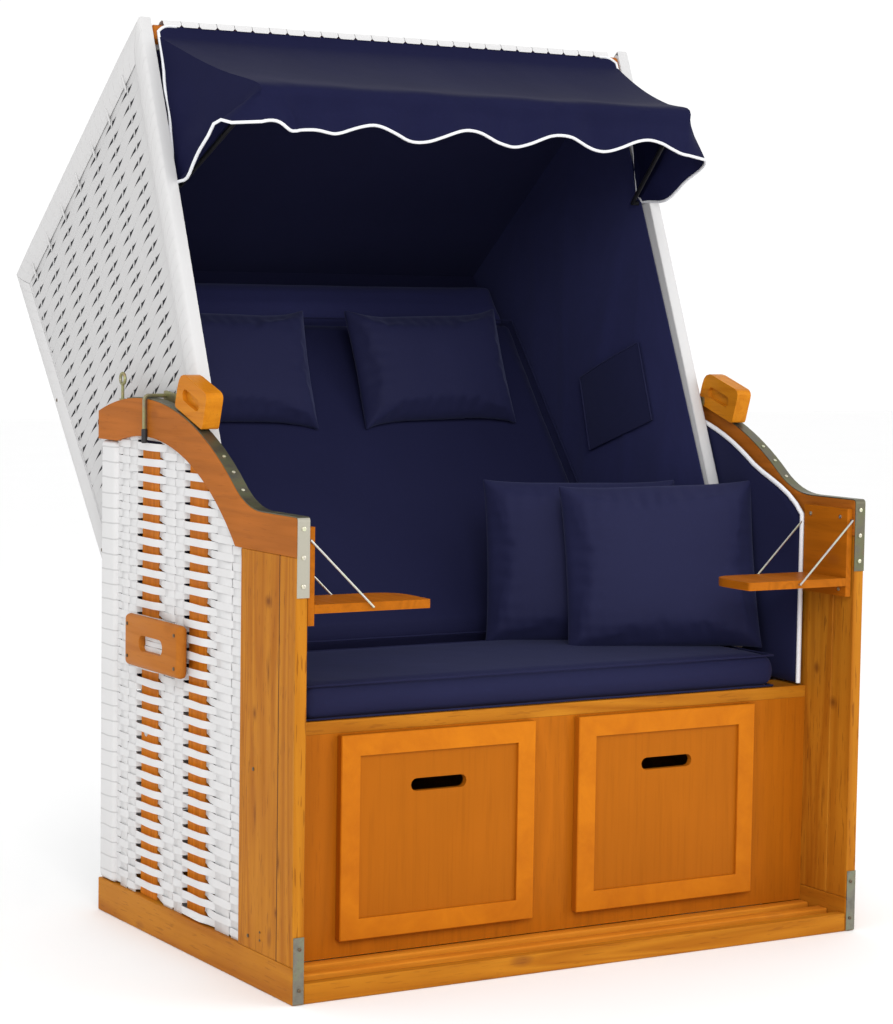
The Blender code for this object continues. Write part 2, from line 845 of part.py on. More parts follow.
def hood_lining_shell():
    """The cloth inside the hood: both sides, the ceiling and a padded back, sewn as one."""
    outer = hood_outline(shell_set_in + shell + clearance)
    inner = hood_outline(shell_set_in + shell + clearance + hood_lining)
    heel, up, inward = back_frame()
    front = -hood_front + top_rail + clearance
    slope = (outer[2][1] - outer[1][1]) / (outer[2][0] - outer[1][0])
    pad = shell_set_in + shell + clearance + back_pad
    back_foot = on_back(back_cushion_foot / 2, shell_set_in + shell + clearance)
    pad_foot = on_back(back_cushion_foot / 2, pad)
    outline = [
        (front, outer[1][1] + slope * (front - outer[1][0])),
        outer[2],
        back_foot,
        pad_foot,
        (front, pad_foot[1]),
    ]
    half = hood_inner - clearance
    solid = plate_from(outline, -half, half)
    pad_line = Vector(pad_foot)
    roof = Vector((front, inner[1][1] + slope * (front - inner[1][0])))
    fall = Vector((inner[2][0] - inner[1][0], inner[2][1] - inner[1][1])).normalized()
    # The ceiling's inner line meets the pad's inner line at the hollow's upper back corner
    cross = up.x * fall.y - up.y * fall.x
    gap = roof - pad_line
    reach = (gap.x * fall.y - gap.y * fall.x) / cross
    corner = pad_line + up * reach
    start = roof - fall * top_rail
    foot = pad_line - up * back_cushion_foot
    outline = [tuple(start), tuple(corner), tuple(foot), (start.x, foot.y)]
    hollow = plate_from(outline, -half + hood_lining, half - hood_lining)
    return finish(combine(solid, hollow, "DIFFERENCE"), "hood_lining", "navy_cloth", hood_axis, smooth=True)


def drawn_to_edge(place, half, count):
    """Move the lines of an even grid so that the outer ones run just inside the edge."""
    index = round((place / half + 1) / 2 * count)
    if index in (0, count):
        return place
    inner = half - edge_run
    return -inner + 2 * inner * (index - 1) / (count - 2)


def soft_block(width, length, height, columns, rows, edge_share, draw, flat_back, power):
    """A cushion in its own frame: X across, Y up its face, Z out of it; crown, thin edges, drawn-in sides."""
    bpy.ops.mesh.primitive_grid_add(x_subdivisions=columns, y_subdivisions=rows, size=1)
    thing = bpy.context.object
    thing.scale = (width, length, 1)
    bpy.ops.object.transform_apply(location=False, rotation=False, scale=True)
    for spot in thing.data.vertices:
        spot.co.x = drawn_to_edge(spot.co.x, width / 2, columns)
        spot.co.y = drawn_to_edge(spot.co.y, length / 2, rows)
    body = thing.modifiers.new("body", "SOLIDIFY")
    body.thickness = height
    body.offset = 0
    thing = settle(thing)
    for spot in thing.data.vertices:
        u = spot.co.x / (width / 2)
        v = spot.co.y / (length / 2)
        fall = ((1 - abs(u) ** power) * (1 - abs(v) ** power))
        swell = edge_share + (1 - edge_share) * max(fall, 0.0) ** 0.5
        if spot.co.z > 0 or not flat_back:
            spot.co.z = spot.co.z * swell
        spot.co.x = spot.co.x * (1 - draw * (1 - v * v))
        spot.co.y = spot.co.y * (1 - draw * (1 - u * u))
    smooth = thing.modifiers.new("smooth", "SUBSURF")
    smooth.levels = 1
    smooth.render_levels = 1
    return settle(thing)


def seat_cushion():
    solid = soft_block(seat_cushion_width, seat_cushion_depth, seat_cushion_height, 10, 6,
                       cushion_edge_share, cushion_draw_share, True, 4)
    foot = deck_height + clearance
    middle = front_y + seat_front_back + board_edge + seat_cushion_depth / 2
    shift(solid, (0, middle, foot + seat_cushion_height / 2))
    return finish(solid, "seat_cushion", "navy_cloth", smooth=True)


def throw_pillow(name, aside, back, settled):
    solid = soft_block(pillow_width, pillow_length, pillow_height, 8, 7, pillow_edge_share, draw_share, False, 2.2)
    turn = Matrix.Rotation(math.radians(-pillow_turn), 4, "Z")
    rise = Matrix.Rotation(math.radians(90 - pillow_tilt), 4, "X")
    solid.data.transform(turn @ rise)
    lowest = min(spot.co.z for spot in solid.data.vertices)
    seat_top = deck_height + seat_cushion_height - settled
    shift(solid, (aside, front_y + back, seat_top - lowest))
    return finish(solid, name, "navy_cloth", smooth=True)


def lay_on_back(solid, along, off, height):
    """Turn a cushion from its own frame onto the slope of the hood's back, its back face at an offset."""
    heel, up, inward = back_frame()
    slope = math.atan2(up.x, up.y)
    solid.data.transform(Matrix.Rotation(math.pi / 2 - slope, 4, "X"))
    spot = on_back(along, off + height / 2)
    return shift(solid, (0, spot[0], spot[1]))


def hood_cushions():
    base = shell_set_in + shell + back_pad + clearance * 2
    solid = soft_block(soft_width, back_cushion_length, back_cushion_height, 8, 8,
                       cushion_edge_share, cushion_draw_share, True, 4)
    solid = lay_on_back(solid, back_cushion_foot + back_cushion_length / 2, base, back_cushion_height)
    finish(solid, "back_cushion", "navy_cloth", hood_axis, smooth=True)
    foot = back_cushion_foot + back_cushion_length + clearance
    solid = soft_block(soft_width, head_cushion_length, head_cushion_height, 8, 4,
                       cushion_edge_share * cushion_edge_share, cushion_draw_share, True, 4)
    solid = lay_on_back(solid, foot + head_cushion_length / 2, base, head_cushion_height)
    finish(solid, "head_cushion", "navy_cloth", hood_axis, smooth=True)
    front = base + back_cushion_height - neck_settle
    for side, tag in ((-1, "l"), (1, "r")):
        solid = soft_block(neck_width, neck_length, neck_height, 7, 6, pillow_edge_share, draw_share, False, 2.2)
        solid = lay_on_back(solid, neck_foot + neck_length / 2, front, neck_height)
        shift(solid, (side * neck_aside, 0, 0))
        finish(solid, "neck_pillow_" + tag, "navy_cloth", hood_axis, smooth=True)


def polar(lead, radius):
    """A place in the hood's frame, by its lead ahead of the vertical at rest and its radius from the axle."""
    angle = math.radians(-lead) - lean
    return Vector((radius * math.sin(angle), radius * math.cos(angle)))


def latch(side, tag):
    """A lever with a bent guide rod, hinged on the hood, and the wooden grip it carries over the rail."""
    ride = rail_radius + clearance + strip
    hub = polar(hook_lead, ride + hook_ride + hook_radius)
    axis = empty_at("latch_axis_" + tag, (0, hub.x, hub.y), hood_axis)
    out = half_width + hook_stand_off + hook_radius
    start = hood_half_width + clearance
    # The rod runs out over the rail and hangs down its outer face, plumb when the chair is at rest
    down = Vector((math.sin(lean), -math.cos(lean)))
    bend_run = hook_radius * 2
    knee = [(side * (out - bend_run), 0, 0)]
    for turn in (22.5, 45.0, 67.5, 90.0):
        across = out - bend_run + bend_run * math.sin(math.radians(turn))
        fall = bend_run * (1 - math.cos(math.radians(turn)))
        knee.append((side * across, down.x * fall, down.y * fall))
    tip = (side * out, down.x * hook_drop, down.y * hook_drop)
    rod = tube([(side * start, 0, 0), *knee, tip], hook_radius)
    inner = start + lever_set_out
    grip_middle = polar(grip_lead, ride + grip_ride + lever_height) - hub
    reach = grip_middle.length - grip_groove_length / 2 - grip_groove_depth / 2
    turned = math.atan2(grip_middle.x, grip_middle.y)
    bar = rounded([(-lever_height / 2, -lever_height / 2), (lever_height / 2, -lever_height / 2),
                   (lever_height / 2, reach), (-lever_height / 2, reach)], [lever_height / 3] * 4, 3)
    arm = [(y * math.cos(turned) + z * math.sin(turned), z * math.cos(turned) - y * math.sin(turned))
           for y, z in bar]
    plate = plate_from(arm, *span(side, inner, inner + lever))
    finish(combine(plate, rod, "UNION"), "latch_lever_" + tag, "plated_steel", axis, smooth=True)
    low = inner + lever + clearance
    angle = math.radians(-grip_lead) - lean
    foot = polar(grip_lead, ride + grip_ride) - hub
    half = grip_length / 2
    block = rounded([(-half, 0), (half, 0), (half, grip_height), (-half, grip_height)],
                    [grip_round / 2, grip_round / 2, grip_round * 2, grip_round], 4)
    groove = slot_outline(0, grip_height / 2, grip_groove_length, grip_groove_height)
    placed = []
    for outline in (block, groove):
        placed.append([(foot.x + a * math.cos(angle) + b * math.sin(angle),
                        foot.y - a * math.sin(angle) + b * math.cos(angle)) for a, b in outline])
    solid = bevelled(plate_from(placed[0], *span(side, low, low + grip_thickness)), soft_edge)
    outer = low + grip_thickness
    x0, x1 = span(side, outer - grip_groove_depth, outer + cut_overrun)
    solid = combine(solid, plate_from(placed[1], x0, x1), "DIFFERENCE")
    x0, x1 = span(side, low - cut_overrun, low + grip_groove_depth)
    solid = combine(solid, plate_from(placed[1], x0, x1), "DIFFERENCE")
    finish(solid, "latch_grip_" + tag, "varnished_wood", axis, smooth=True)


def awning_section():
    """The awning's line in the hood's frame: from the top rail out to the ridge, then down to the hem."""
    top = Vector((-hood_front - awning_cloth / 2 - clearance, hood_height - top_rail))
    ridge = Vector((-hood_front - awning_reach, hood_height - awning_drop))
    down = Vector((math.sin(lean), -math.cos(lean)))
    return top, ridge, down


def awning_bow():
    top, ridge, down = awning_section()
    axle = Vector((-hood_front + bow_axle_set_back, bow_axle_height))
    axis = empty_at("awning_axis", (0, axle.x, axle.y), hood_axis)
    inside = (axle - ridge).normalized() * (bow_radius + awning_cloth * 2 + clearance)
    bar = ridge + inside - axle
    near = bow_axle_half_width - bow_radius * 3
    path = []
    for side in (-1, 1):
        arm = [(side * bow_axle_half_width, 0, 0), (side * near, 0, 0)]
        elbow = Vector((side * bow_half_width, bar.x, bar.y))
        foot = Vector(arm[1])
        start = elbow + (foot - elbow).normalized() * bow_corner
        stop = elbow - Vector((side * bow_corner, 0, 0))
        arm.extend([tuple(start), *bend(start, elbow, stop, 4), tuple(stop)])
        path.append(arm)
    wire = tube(path[0] + path[1][::-1], bow_radius)
    return finish(wire, "awning_bow", "plated_steel", axis, smooth=True)


def awning_cloth_sheet():
    """The awning as one sewn cloth: roof, scalloped valance and a gusset at each side."""
    top, ridge, down = awning_section()
    roof_rows, valance_rows, gusset_rows = 5, 3, 4
    columns = scallops * 6
    axle = Vector((-hood_front + bow_axle_set_back, bow_axle_height))
    shape = bmesh.new()
    rows = []
    for row in range(roof_rows + valance_rows + 1):
        line = []
        for column in range(columns + 1):
            across = 2 * column / columns - 1
            line.append(shape.verts.new(awning_point(row, across, roof_rows, valance_rows, top, ridge, down)))
        rows.append(line)
    for upper, lower in zip(rows, rows[1:]):
        for column in range(columns):
            shape.faces.new((upper[column], lower[column], lower[column + 1], upper[column + 1]))
    for side, column in ((-1, 0), (1, columns)):
        root = Vector((side * (bow_axle_half_width - awning_cloth), axle.x, axle.y))
        last = [row[column] for row in rows]
        for step in range(1, gusset_rows + 1):
            share = (1 - gusset_root_share) * step / gusset_rows
            line = []
            for spot, rim in zip(last, rows):
                start = rim[column].co
                line.append(shape.verts.new(start.lerp(root, share)))
            for index in range(len(line) - 1):
                corner = (last[index], line[index], line[index + 1], last[index + 1])
                shape.faces.new(corner if side > 0 else corner[::-1])
            last = line
    bmesh.ops.recalc_face_normals(shape, faces=shape.faces)
    mesh = bpy.data.meshes.new("awning")
    shape.to_mesh(mesh)
    shape.free()
    thing = bpy.data.objects.new("awning", mesh)
    bpy.context.scene.collection.objects.link(thing)
    body = thing.modifiers.new("body", "SOLIDIFY")
    body.thickness = awning_cloth
    body.offset = 0
    return finish(settle(thing), "awning_cloth", "navy_cloth", hood_axis, smooth=True)


def awning_point(row, across, roof_rows, valance_rows, top, ridge, down):
    """One point of the awning's front: its row down the cloth and its place across it, from -1 to 1."""
    wave = math.cos(math.pi * scallops * (across + 1))
    if row <= roof_rows:
        share = row / roof_rows
        half = awning_top_half_width + (awning_half_width - awning_top_half_width) * share
        spot = top.lerp(ridge, share)
        sag = roof_sag_share * (top - ridge).length * share * (1 - share) * (1 - across ** 4)
        spot = spot + down * sag
        return (across * half, spot.x, spot.y)
    share = (row - roof_rows) / valance_rows
    hang = (valance + scallop * wave) * share
    ripple = awning_fold * wave * share
    spot = ridge + down * hang + Vector((math.cos(lean), math.sin(lean))) * ripple
    return (across * awning_half_width, spot.x, spot.y)


def build():
    for side, tag in ((-1, "l"), (1, "r")):
        arm_rail(side, "arm_rail_" + tag)
        latch_strip(side, "latch_strip_" + tag)
        lower_bracket(side, "lower_bracket_" + tag)
        eye_bolt(side, "eye_bolt_" + tag)
        side_weave(side, "side_weave_" + tag)
        side_lining(side, "side_lining_" + tag)
        carry_handle(side, "carry_handle_" + tag)
        footrest(side, tag)
        table_set(side, tag)
        hood_side_panel(side, "hood_side_" + tag)
        latch(side, tag)
    basket_boards()
    side_slats()
    rear_weave()
    seat_box()
    seat_cushion()
    throw_pillow("throw_pillow_front", front_pillow_aside, front_pillow_back, -clearance)
    throw_pillow("throw_pillow_rear", rear_pillow_aside, rear_pillow_back, rear_pillow_settle)
    hood_shell()
    hood_top_rail()
    hood_lining_shell()
    hood_cushions()
    awning_bow()
    awning_cloth_sheet()


empty_scene()
make_materials()
parts = named_collection("beach_chair")
cutters = named_collection("cutters")
hood_axis = empty_at("hood_axis", (0, axle_y, axle_height))
hood_axis.rotation_euler = (-lean, 0, 0)
build()
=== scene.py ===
"""Hooded beach chair: woven and wooden basket, tilting hood with awning, cushions, tables and footrests."""
import math

import bpy
from bpy.props import FloatProperty, FloatVectorProperty, PointerProperty
from mathutils import Matrix, Vector, noise


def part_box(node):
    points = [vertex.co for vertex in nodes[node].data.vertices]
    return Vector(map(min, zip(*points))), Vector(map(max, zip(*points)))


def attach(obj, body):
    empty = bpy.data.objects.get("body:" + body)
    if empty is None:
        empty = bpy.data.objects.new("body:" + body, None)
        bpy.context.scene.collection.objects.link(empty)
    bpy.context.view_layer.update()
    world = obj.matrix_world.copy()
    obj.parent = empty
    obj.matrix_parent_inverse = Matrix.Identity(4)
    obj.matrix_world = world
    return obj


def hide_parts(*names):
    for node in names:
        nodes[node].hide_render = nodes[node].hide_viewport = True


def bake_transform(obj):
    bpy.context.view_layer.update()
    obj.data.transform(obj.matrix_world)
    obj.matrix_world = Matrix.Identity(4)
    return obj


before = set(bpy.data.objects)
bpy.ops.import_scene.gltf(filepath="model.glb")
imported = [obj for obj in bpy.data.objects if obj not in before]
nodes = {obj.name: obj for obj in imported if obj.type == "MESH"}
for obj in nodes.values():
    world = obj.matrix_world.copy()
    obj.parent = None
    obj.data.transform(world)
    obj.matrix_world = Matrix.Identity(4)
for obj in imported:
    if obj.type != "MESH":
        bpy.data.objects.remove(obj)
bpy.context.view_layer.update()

bl_info = {
    "name": "Hooded beach chair",
    "version": (1, 0, 0),
    "blender": (4, 5, 0),
    "location": "View3D > Sidebar > Beach chair",
    "description": "Weave, cloth, cushions, fittings and finishes of a hooded beach chair",
    "category": "Object",
}

# Basket: depths are measured back from its front plane, heights from the floor
FRONT_Y = -0.405
HALF_WIDTH = 0.600
BASKET_DEPTH = 0.810
BASE_HEIGHT = 0.0633
RAIL_UNDER = 0.752
RAIL_RADIUS = 0.622
UNDER_RADIUS = 0.516
UNDER_CENTRE = (0.207, 0.4065)

# Hood: its axle, its lean and its corners in its own frame
AXLE_Y = 0.220
AXLE_Z = 0.370
LEAN = math.radians(22.0)
HOOD_HALF = 0.553
HOOD_INNER = 0.528
HOOD_FRONT = 0.382
HOOD_HEIGHT = 1.2785
CORNER_BACK = 0.358
CORNER_HEIGHT = 1.0635
HEEL_BACK = 0.025
HEEL_DROP = 0.022
FRONT_FOOT = 0.012
RIM_RECESS = 0.003
HOOD = Matrix.Translation((0, AXLE_Y, AXLE_Z)) @ Matrix.Rotation(-LEAN, 4, "X")

# Knots of the front boards: place, size and how far each is drawn out along the grain
KNOTS = (
    ((-0.600, -0.305, 0.670), 0.011, 0.8),
    ((-0.600, -0.307, 0.550), 0.0035, 6.0),
    ((-0.600, -0.257, 0.473), 0.006, 1.6),
    ((-0.600, -0.350, 0.232), 0.004, 4.0),
    ((-0.600, -0.342, 0.145), 0.005, 1.5),
    ((-0.600, -0.262, 0.300), 0.003, 7.0),
    ((0.575, -0.300, 0.490), 0.008, 1.2),
    ((0.575, -0.352, 0.430), 0.010, 1.0),
    ((0.575, -0.330, 0.250), 0.004, 4.0),
)
SIDES = ((-1, "l", "left"), (1, "r", "right"))
looks = {}


def deselect():
    if bpy.context.object and bpy.context.object.mode != "OBJECT":
        bpy.ops.object.mode_set(mode="OBJECT")
    bpy.ops.object.select_all(action="DESELECT")


def only(thing):
    deselect()
    thing.select_set(True)
    bpy.context.view_layer.objects.active = thing
    return thing


def settled(thing):
    """Apply a thing's modifiers and its place, so that it is a plain mesh at the origin."""
    only(thing)
    if thing.type != "MESH":
        bpy.ops.object.convert(target="MESH")
        thing = bpy.context.object
    for item in list(thing.modifiers):
        bpy.ops.object.modifier_apply(modifier=item.name)
    bpy.ops.object.transform_apply(location=True, rotation=True, scale=True)
    return thing


def joined(things):
    deselect()
    for thing in things:
        thing.select_set(True)
    bpy.context.view_layer.objects.active = things[0]
    bpy.ops.object.join()
    return bpy.context.object


def dressed(thing, name, look, body, angle=35.0):
    """Name a finished piece, give it its finish and let it ride on a body."""
    thing.name = name
    thing.data.name = name
    thing.data.materials.clear()
    thing.data.materials.append(look)
    only(thing)
    bpy.ops.object.shade_smooth_by_angle(angle=math.radians(angle))
    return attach(thing, body)


def placed(thing, matrix):
    thing.data.transform(matrix)
    thing.data.update()
    return thing


def faced_out(thing):
    only(thing)
    bpy.ops.object.mode_set(mode="EDIT")
    bpy.ops.mesh.select_all(action="SELECT")
    bpy.ops.mesh.remove_doubles(threshold=0.00002)
    bpy.ops.mesh.normals_make_consistent(inside=False)
    bpy.ops.object.mode_set(mode="OBJECT")
    return thing


def block(low, high, edge=0.001, segments=2):
    """A box between two corners with softened edges."""
    deselect()
    bpy.ops.mesh.primitive_cube_add(size=1, location=[(a + b) / 2 for a, b in zip(low, high)])
    thing = bpy.context.object
    thing.scale = [b - a for a, b in zip(low, high)]
    bpy.ops.object.transform_apply(location=True, rotation=False, scale=True)
    if edge:
        bevel = thing.modifiers.new("edges", "BEVEL")
        bevel.width = edge
        bevel.segments = segments
        bevel.limit_method = "ANGLE"
    return settled(thing)


def rod(start, stop, radius, edge=0.0, sides=24):
    """A round bar between two points with softened ends."""
    start, stop = Vector(start), Vector(stop)
    line = stop - start
    deselect()
    bpy.ops.mesh.primitive_cylinder_add(vertices=sides, radius=radius, depth=line.length,
                                        end_fill_type="NGON")
    thing = bpy.context.object
    if edge:
        bevel = thing.modifiers.new("edges", "BEVEL")
        bevel.width = edge
        bevel.segments = 3
        bevel.limit_method = "ANGLE"
        settled(thing)
    turn = Vector((0, 0, 1)).rotation_difference(line.normalized()).to_matrix().to_4x4()
    return placed(thing, Matrix.Translation((start + stop) / 2) @ turn)


def cord_along(points, radius, closed=False, sides=3):
    """A round cord along a line of points."""
    curve = bpy.data.curves.new("cord", "CURVE")
    curve.dimensions = "3D"
    curve.bevel_depth = radius
    curve.bevel_resolution = sides
    curve.use_fill_caps = True
    run = curve.splines.new("POLY")
    run.points.add(len(points) - 1)
    for spot, place in zip(run.points, points):
        spot.co = (*place, 1)
    run.use_cyclic_u = closed
    thing = bpy.data.objects.new("cord", curve)
    bpy.context.scene.collection.objects.link(thing)
    return settled(thing)


def mesh_thing(name, places, faces):
    mesh = bpy.data.meshes.new(name)
    mesh.from_pydata([tuple(place) for place in places], [], faces)
    mesh.update()
    thing = bpy.data.objects.new(name, mesh)
    bpy.context.scene.collection.objects.link(thing)
    return thing


def thickened(thing, thickness):
    body = thing.modifiers.new("thickness", "SOLIDIFY")
    body.thickness = thickness
    body.offset = 0.0
    return settled(thing)


def grid_sheet(rows):
    """A sheet of quads through rows of points."""
    places = [place for row in rows for place in row]
    count = len(rows[0])
    faces = []
    for r in range(len(rows) - 1):
        for c in range(count - 1):
            start = r * count + c
            faces.append((start, start + 1, start + count + 1, start + count))
    return mesh_thing("sheet", places, faces)


def ribbons(runs, thickness):
    """Flat strips: each run is a list of pairs of edge points along one strip."""
    places, faces = [], []
    for run in runs:
        start = len(places)
        for pair in run:
            places.extend(pair)
        for index in range(len(run) - 1):
            a = start + index * 2
            faces.append((a, a + 1, a + 3, a + 2))
    return thickened(mesh_thing("strips", places, faces), thickness)


def eased(value, keys):
    """A smooth height between key places."""
    if value <= keys[0][0]:
        return keys[0][1]
    for (a, low), (b, high) in zip(keys, keys[1:]):
        if value <= b:
            share = (value - a) / max(b - a, 1e-6)
            share = share * share * (3 - 2 * share)
            return low + (high - low) * share
    return keys[-1][1]


def node_copy(name):
    """A merged copy of a CAD node's mesh, to shape further."""
    source = nodes[name]
    thing = bpy.data.objects.new(name + "_form", source.data.copy())
    bpy.context.scene.collection.objects.link(thing)
    thing.data.materials.clear()
    only(thing)
    bpy.ops.object.mode_set(mode="EDIT")
    bpy.ops.mesh.select_all(action="SELECT")
    bpy.ops.mesh.remove_doubles(threshold=0.00002)
    bpy.ops.object.mode_set(mode="OBJECT")
    for key in [key for key in thing.keys() if key.startswith("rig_")]:
        del thing[key]
    return thing


def remeshed(thing, voxel):
    change = thing.modifiers.new("voxels", "REMESH")
    change.mode = "VOXEL"
    change.voxel_size = voxel
    return settled(thing)


def relaxed(thing, rounds, factor=0.5):
    change = thing.modifiers.new("smooth", "SMOOTH")
    change.factor = factor
    change.iterations = rounds
    return settled(thing)


def inflated(thing, pressure, frames, cap, stiffness=15.0):
    """Let cloth swell under pressure, and hold each point within a distance of its start."""
    before = [spot.co.copy() for spot in thing.data.vertices]
    cloth = thing.modifiers.new("cloth", "CLOTH")
    cloth.settings.quality = 5
    cloth.settings.mass = 0.3
    cloth.settings.tension_stiffness = stiffness
    cloth.settings.compression_stiffness = stiffness
    cloth.settings.shear_stiffness = stiffness / 3
    cloth.settings.bending_stiffness = 0.5
    cloth.settings.use_pressure = True
    cloth.settings.uniform_pressure_force = pressure
    cloth.settings.effector_weights.gravity = 0
    cloth.collision_settings.use_self_collision = False
    cloth.point_cache.frame_start = 1
    cloth.point_cache.frame_end = frames
    scene = bpy.context.scene
    for number in range(1, frames + 1):
        scene.frame_set(number)
    settled(thing)
    scene.frame_set(1)
    for spot, start in zip(thing.data.vertices, before):
        move = spot.co - start
        if move.length > cap:
            spot.co = start + move * (cap / move.length)
    thing.data.update()
    return thing


# Finishes

def new_look(name):
    look = bpy.data.materials.new(name)
    look.use_nodes = True
    tree = look.node_tree
    return look, tree, tree.nodes["Principled BSDF"]


def add(tree, kind, **settings):
    node = tree.nodes.new(kind)
    for key, value in settings.items():
        if key in node.inputs.keys():
            node.inputs[key].default_value = value
        else:
            setattr(node, key, value)
    return node


def ramp(tree, source, stops):
    node = tree.nodes.new("ShaderNodeValToRGB")
    while len(node.color_ramp.elements) < len(stops):
        node.color_ramp.elements.new(0.5)
    for element, (place, colour) in zip(node.color_ramp.elements, stops):
        element.position = place
        element.color = (*colour, 1)
    tree.links.new(source, node.inputs["Fac"])
    return node.outputs["Color"]


def grey_ramp(tree, source, stops):
    return ramp(tree, source, [(place, (value, value, value)) for place, value in stops])


def mixed(tree, factor, first, second):
    node = tree.nodes.new("ShaderNodeMix")
    node.data_type = "RGBA"
    for socket, value in ((node.inputs[0], factor), (node.inputs[6], first), (node.inputs[7], second)):
        if isinstance(value, (int, float)):
            socket.default_value = value
        elif isinstance(value, tuple):
            socket.default_value = (*value, 1)
        else:
            tree.links.new(value, socket)
    return node.outputs[2]


def reckoned(tree, operation, first, second=None):
    node = tree.nodes.new("ShaderNodeMath")
    node.operation = operation
    for socket, value in zip(node.inputs, (first, second)):
        if value is None:
            continue
        if isinstance(value, (int, float)):
            socket.default_value = value
        else:
            tree.links.new(value, socket)
    return node.outputs[0]


def object_place(tree, scale=(1, 1, 1), turn=(0, 0, 0), shift=(0, 0, 0)):
    place = tree.nodes.new("ShaderNodeTexCoord")
    mapping = tree.nodes.new("ShaderNodeMapping")
    mapping.inputs["Scale"].default_value = scale
    mapping.inputs["Rotation"].default_value = turn
    mapping.inputs["Location"].default_value = shift
    tree.links.new(place.outputs["Object"], mapping.inputs["Vector"])
    return mapping.outputs["Vector"]


def noise_at(tree, vector, scale, detail=3.0, roughness=0.55, distortion=0.0):
    node = add(tree, "ShaderNodeTexNoise", Scale=scale, Detail=detail, Roughness=roughness,
               Distortion=distortion)
    tree.links.new(vector, node.inputs["Vector"])
    return node.outputs["Fac"]


def bumped(tree, shader, height, distance, strength=1.0, under=None):
    node = tree.nodes.new("ShaderNodeBump")
    node.inputs["Distance"].default_value = distance
    node.inputs["Strength"].default_value = strength
    tree.links.new(height, node.inputs["Height"])
    if under is not None:
        tree.links.new(under, node.inputs["Normal"])
    tree.links.new(node.outputs["Normal"], shader.inputs["Normal"])
    return node.outputs["Normal"]


def varnished_wood(name, along, light, dark, figure=1.0, knots=0.5, shift=(0, 0, 0), gloss=0.36):
    """Honey-varnished softwood: grain drawn out along one axis, growth bands, pores and a few knots."""
    look, tree, shader = new_look(name)
    across = 7.0
    stretch = {"X": (0.45, across, across), "Y": (across, 0.45, across), "Z": (across, across, 0.45)}[along]
    fine = {"X": (6.0, 160.0, 160.0), "Y": (160.0, 6.0, 160.0), "Z": (160.0, 160.0, 6.0)}[along]
    drawn = object_place(tree, stretch, shift=shift)
    bands = noise_at(tree, drawn, 1.7, 2.0, 0.5, 0.6)
    rings = reckoned(tree, "MULTIPLY", bands, 8.0)
    rings = reckoned(tree, "FRACT", rings)
    rings = reckoned(tree, "PINGPONG", rings, 0.5)
    rings = reckoned(tree, "MULTIPLY", rings, 2.0)
    between = tuple((a + b) / 2 for a, b in zip(light, dark))
    colour = ramp(tree, rings, [(0.0, dark), (0.42, between), (0.9, light)])
    flat = tuple(a * 0.62 + b * 0.38 for a, b in zip(light, dark))
    colour = mixed(tree, figure, flat, colour)
    cloudy = noise_at(tree, object_place(tree, (3, 3, 3), shift=shift), 1.2, 3.0, 0.6)
    colour = mixed(tree, grey_ramp(tree, cloudy, [(0.35, 0.0), (0.7, 0.42)]), colour, dark)
    pores = noise_at(tree, object_place(tree, fine), 1.0, 3.0, 0.65)
    colour = mixed(tree, grey_ramp(tree, pores, [(0.30, 0.14), (0.50, 0.0)]), colour,
                   tuple(part * 0.5 for part in dark))
    long, thin = 20.0, 260.0
    split = {"X": (long, thin, thin), "Y": (thin, long, thin), "Z": (thin, thin, long)}[along]
    checks = noise_at(tree, object_place(tree, split, shift=shift), 1.0, 2.0, 0.5)
    flecks = grey_ramp(tree, checks, [(0.625, 0.0), (0.67, 0.6 * knots)])
    colour = mixed(tree, flecks, colour, (0.16, 0.045, 0.006))
    if knots:
        pressed = {"X": (5.2, 11, 11), "Y": (11, 5.2, 11), "Z": (11, 11, 5.2)}[along]
        cells = add(tree, "ShaderNodeTexVoronoi", Scale=0.95, Randomness=1.0)
        tree.links.new(object_place(tree, pressed, shift=shift), cells.inputs["Vector"])
        spots = grey_ramp(tree, cells.outputs["Distance"], [(0.05, knots), (0.085, knots * 0.7), (0.14, 0.0)])
        colour = mixed(tree, spots, colour, (0.17, 0.050, 0.014))
    tree.links.new(colour, shader.inputs["Base Color"])
    tree.links.new(grey_ramp(tree, pores, [(0.3, gloss + 0.12), (0.7, gloss)]), shader.inputs["Roughness"])
    shader.inputs["Specular IOR Level"].default_value = 0.04
    shader.inputs["Coat Weight"].default_value = 0.015
    shader.inputs["Coat Roughness"].default_value = 0.15
    height = mixed(tree, 0.5, pores, rings)
    bumped(tree, shader, height, 0.0003, 0.5)
    return look


def knotted(look, knots):
    """Set knots into a wood: each one a place, a size and how far it is drawn out upwards."""
    tree = look.node_tree
    shader = tree.nodes["Principled BSDF"]
    colour = shader.inputs["Base Color"].links[0].from_socket
    for place, size, drawn in knots:
        squashed = object_place(tree, (1, 1, 1 / drawn))
        gap = add(tree, "ShaderNodeVectorMath")
        gap.operation = "DISTANCE"
        tree.links.new(squashed, gap.inputs[0])
        gap.inputs[1].default_value = (place[0], place[1], place[2] / drawn)
        fade = [(size * 0.25, 0.9), (size * 0.6, 0.55), (size, 0.35), (size * 1.5, 0.0)]
        ring = grey_ramp(tree, gap.outputs["Value"], fade)
        colour = mixed(tree, ring, colour, (0.15, 0.040, 0.006))
    tree.links.new(colour, shader.inputs["Base Color"])
    return look


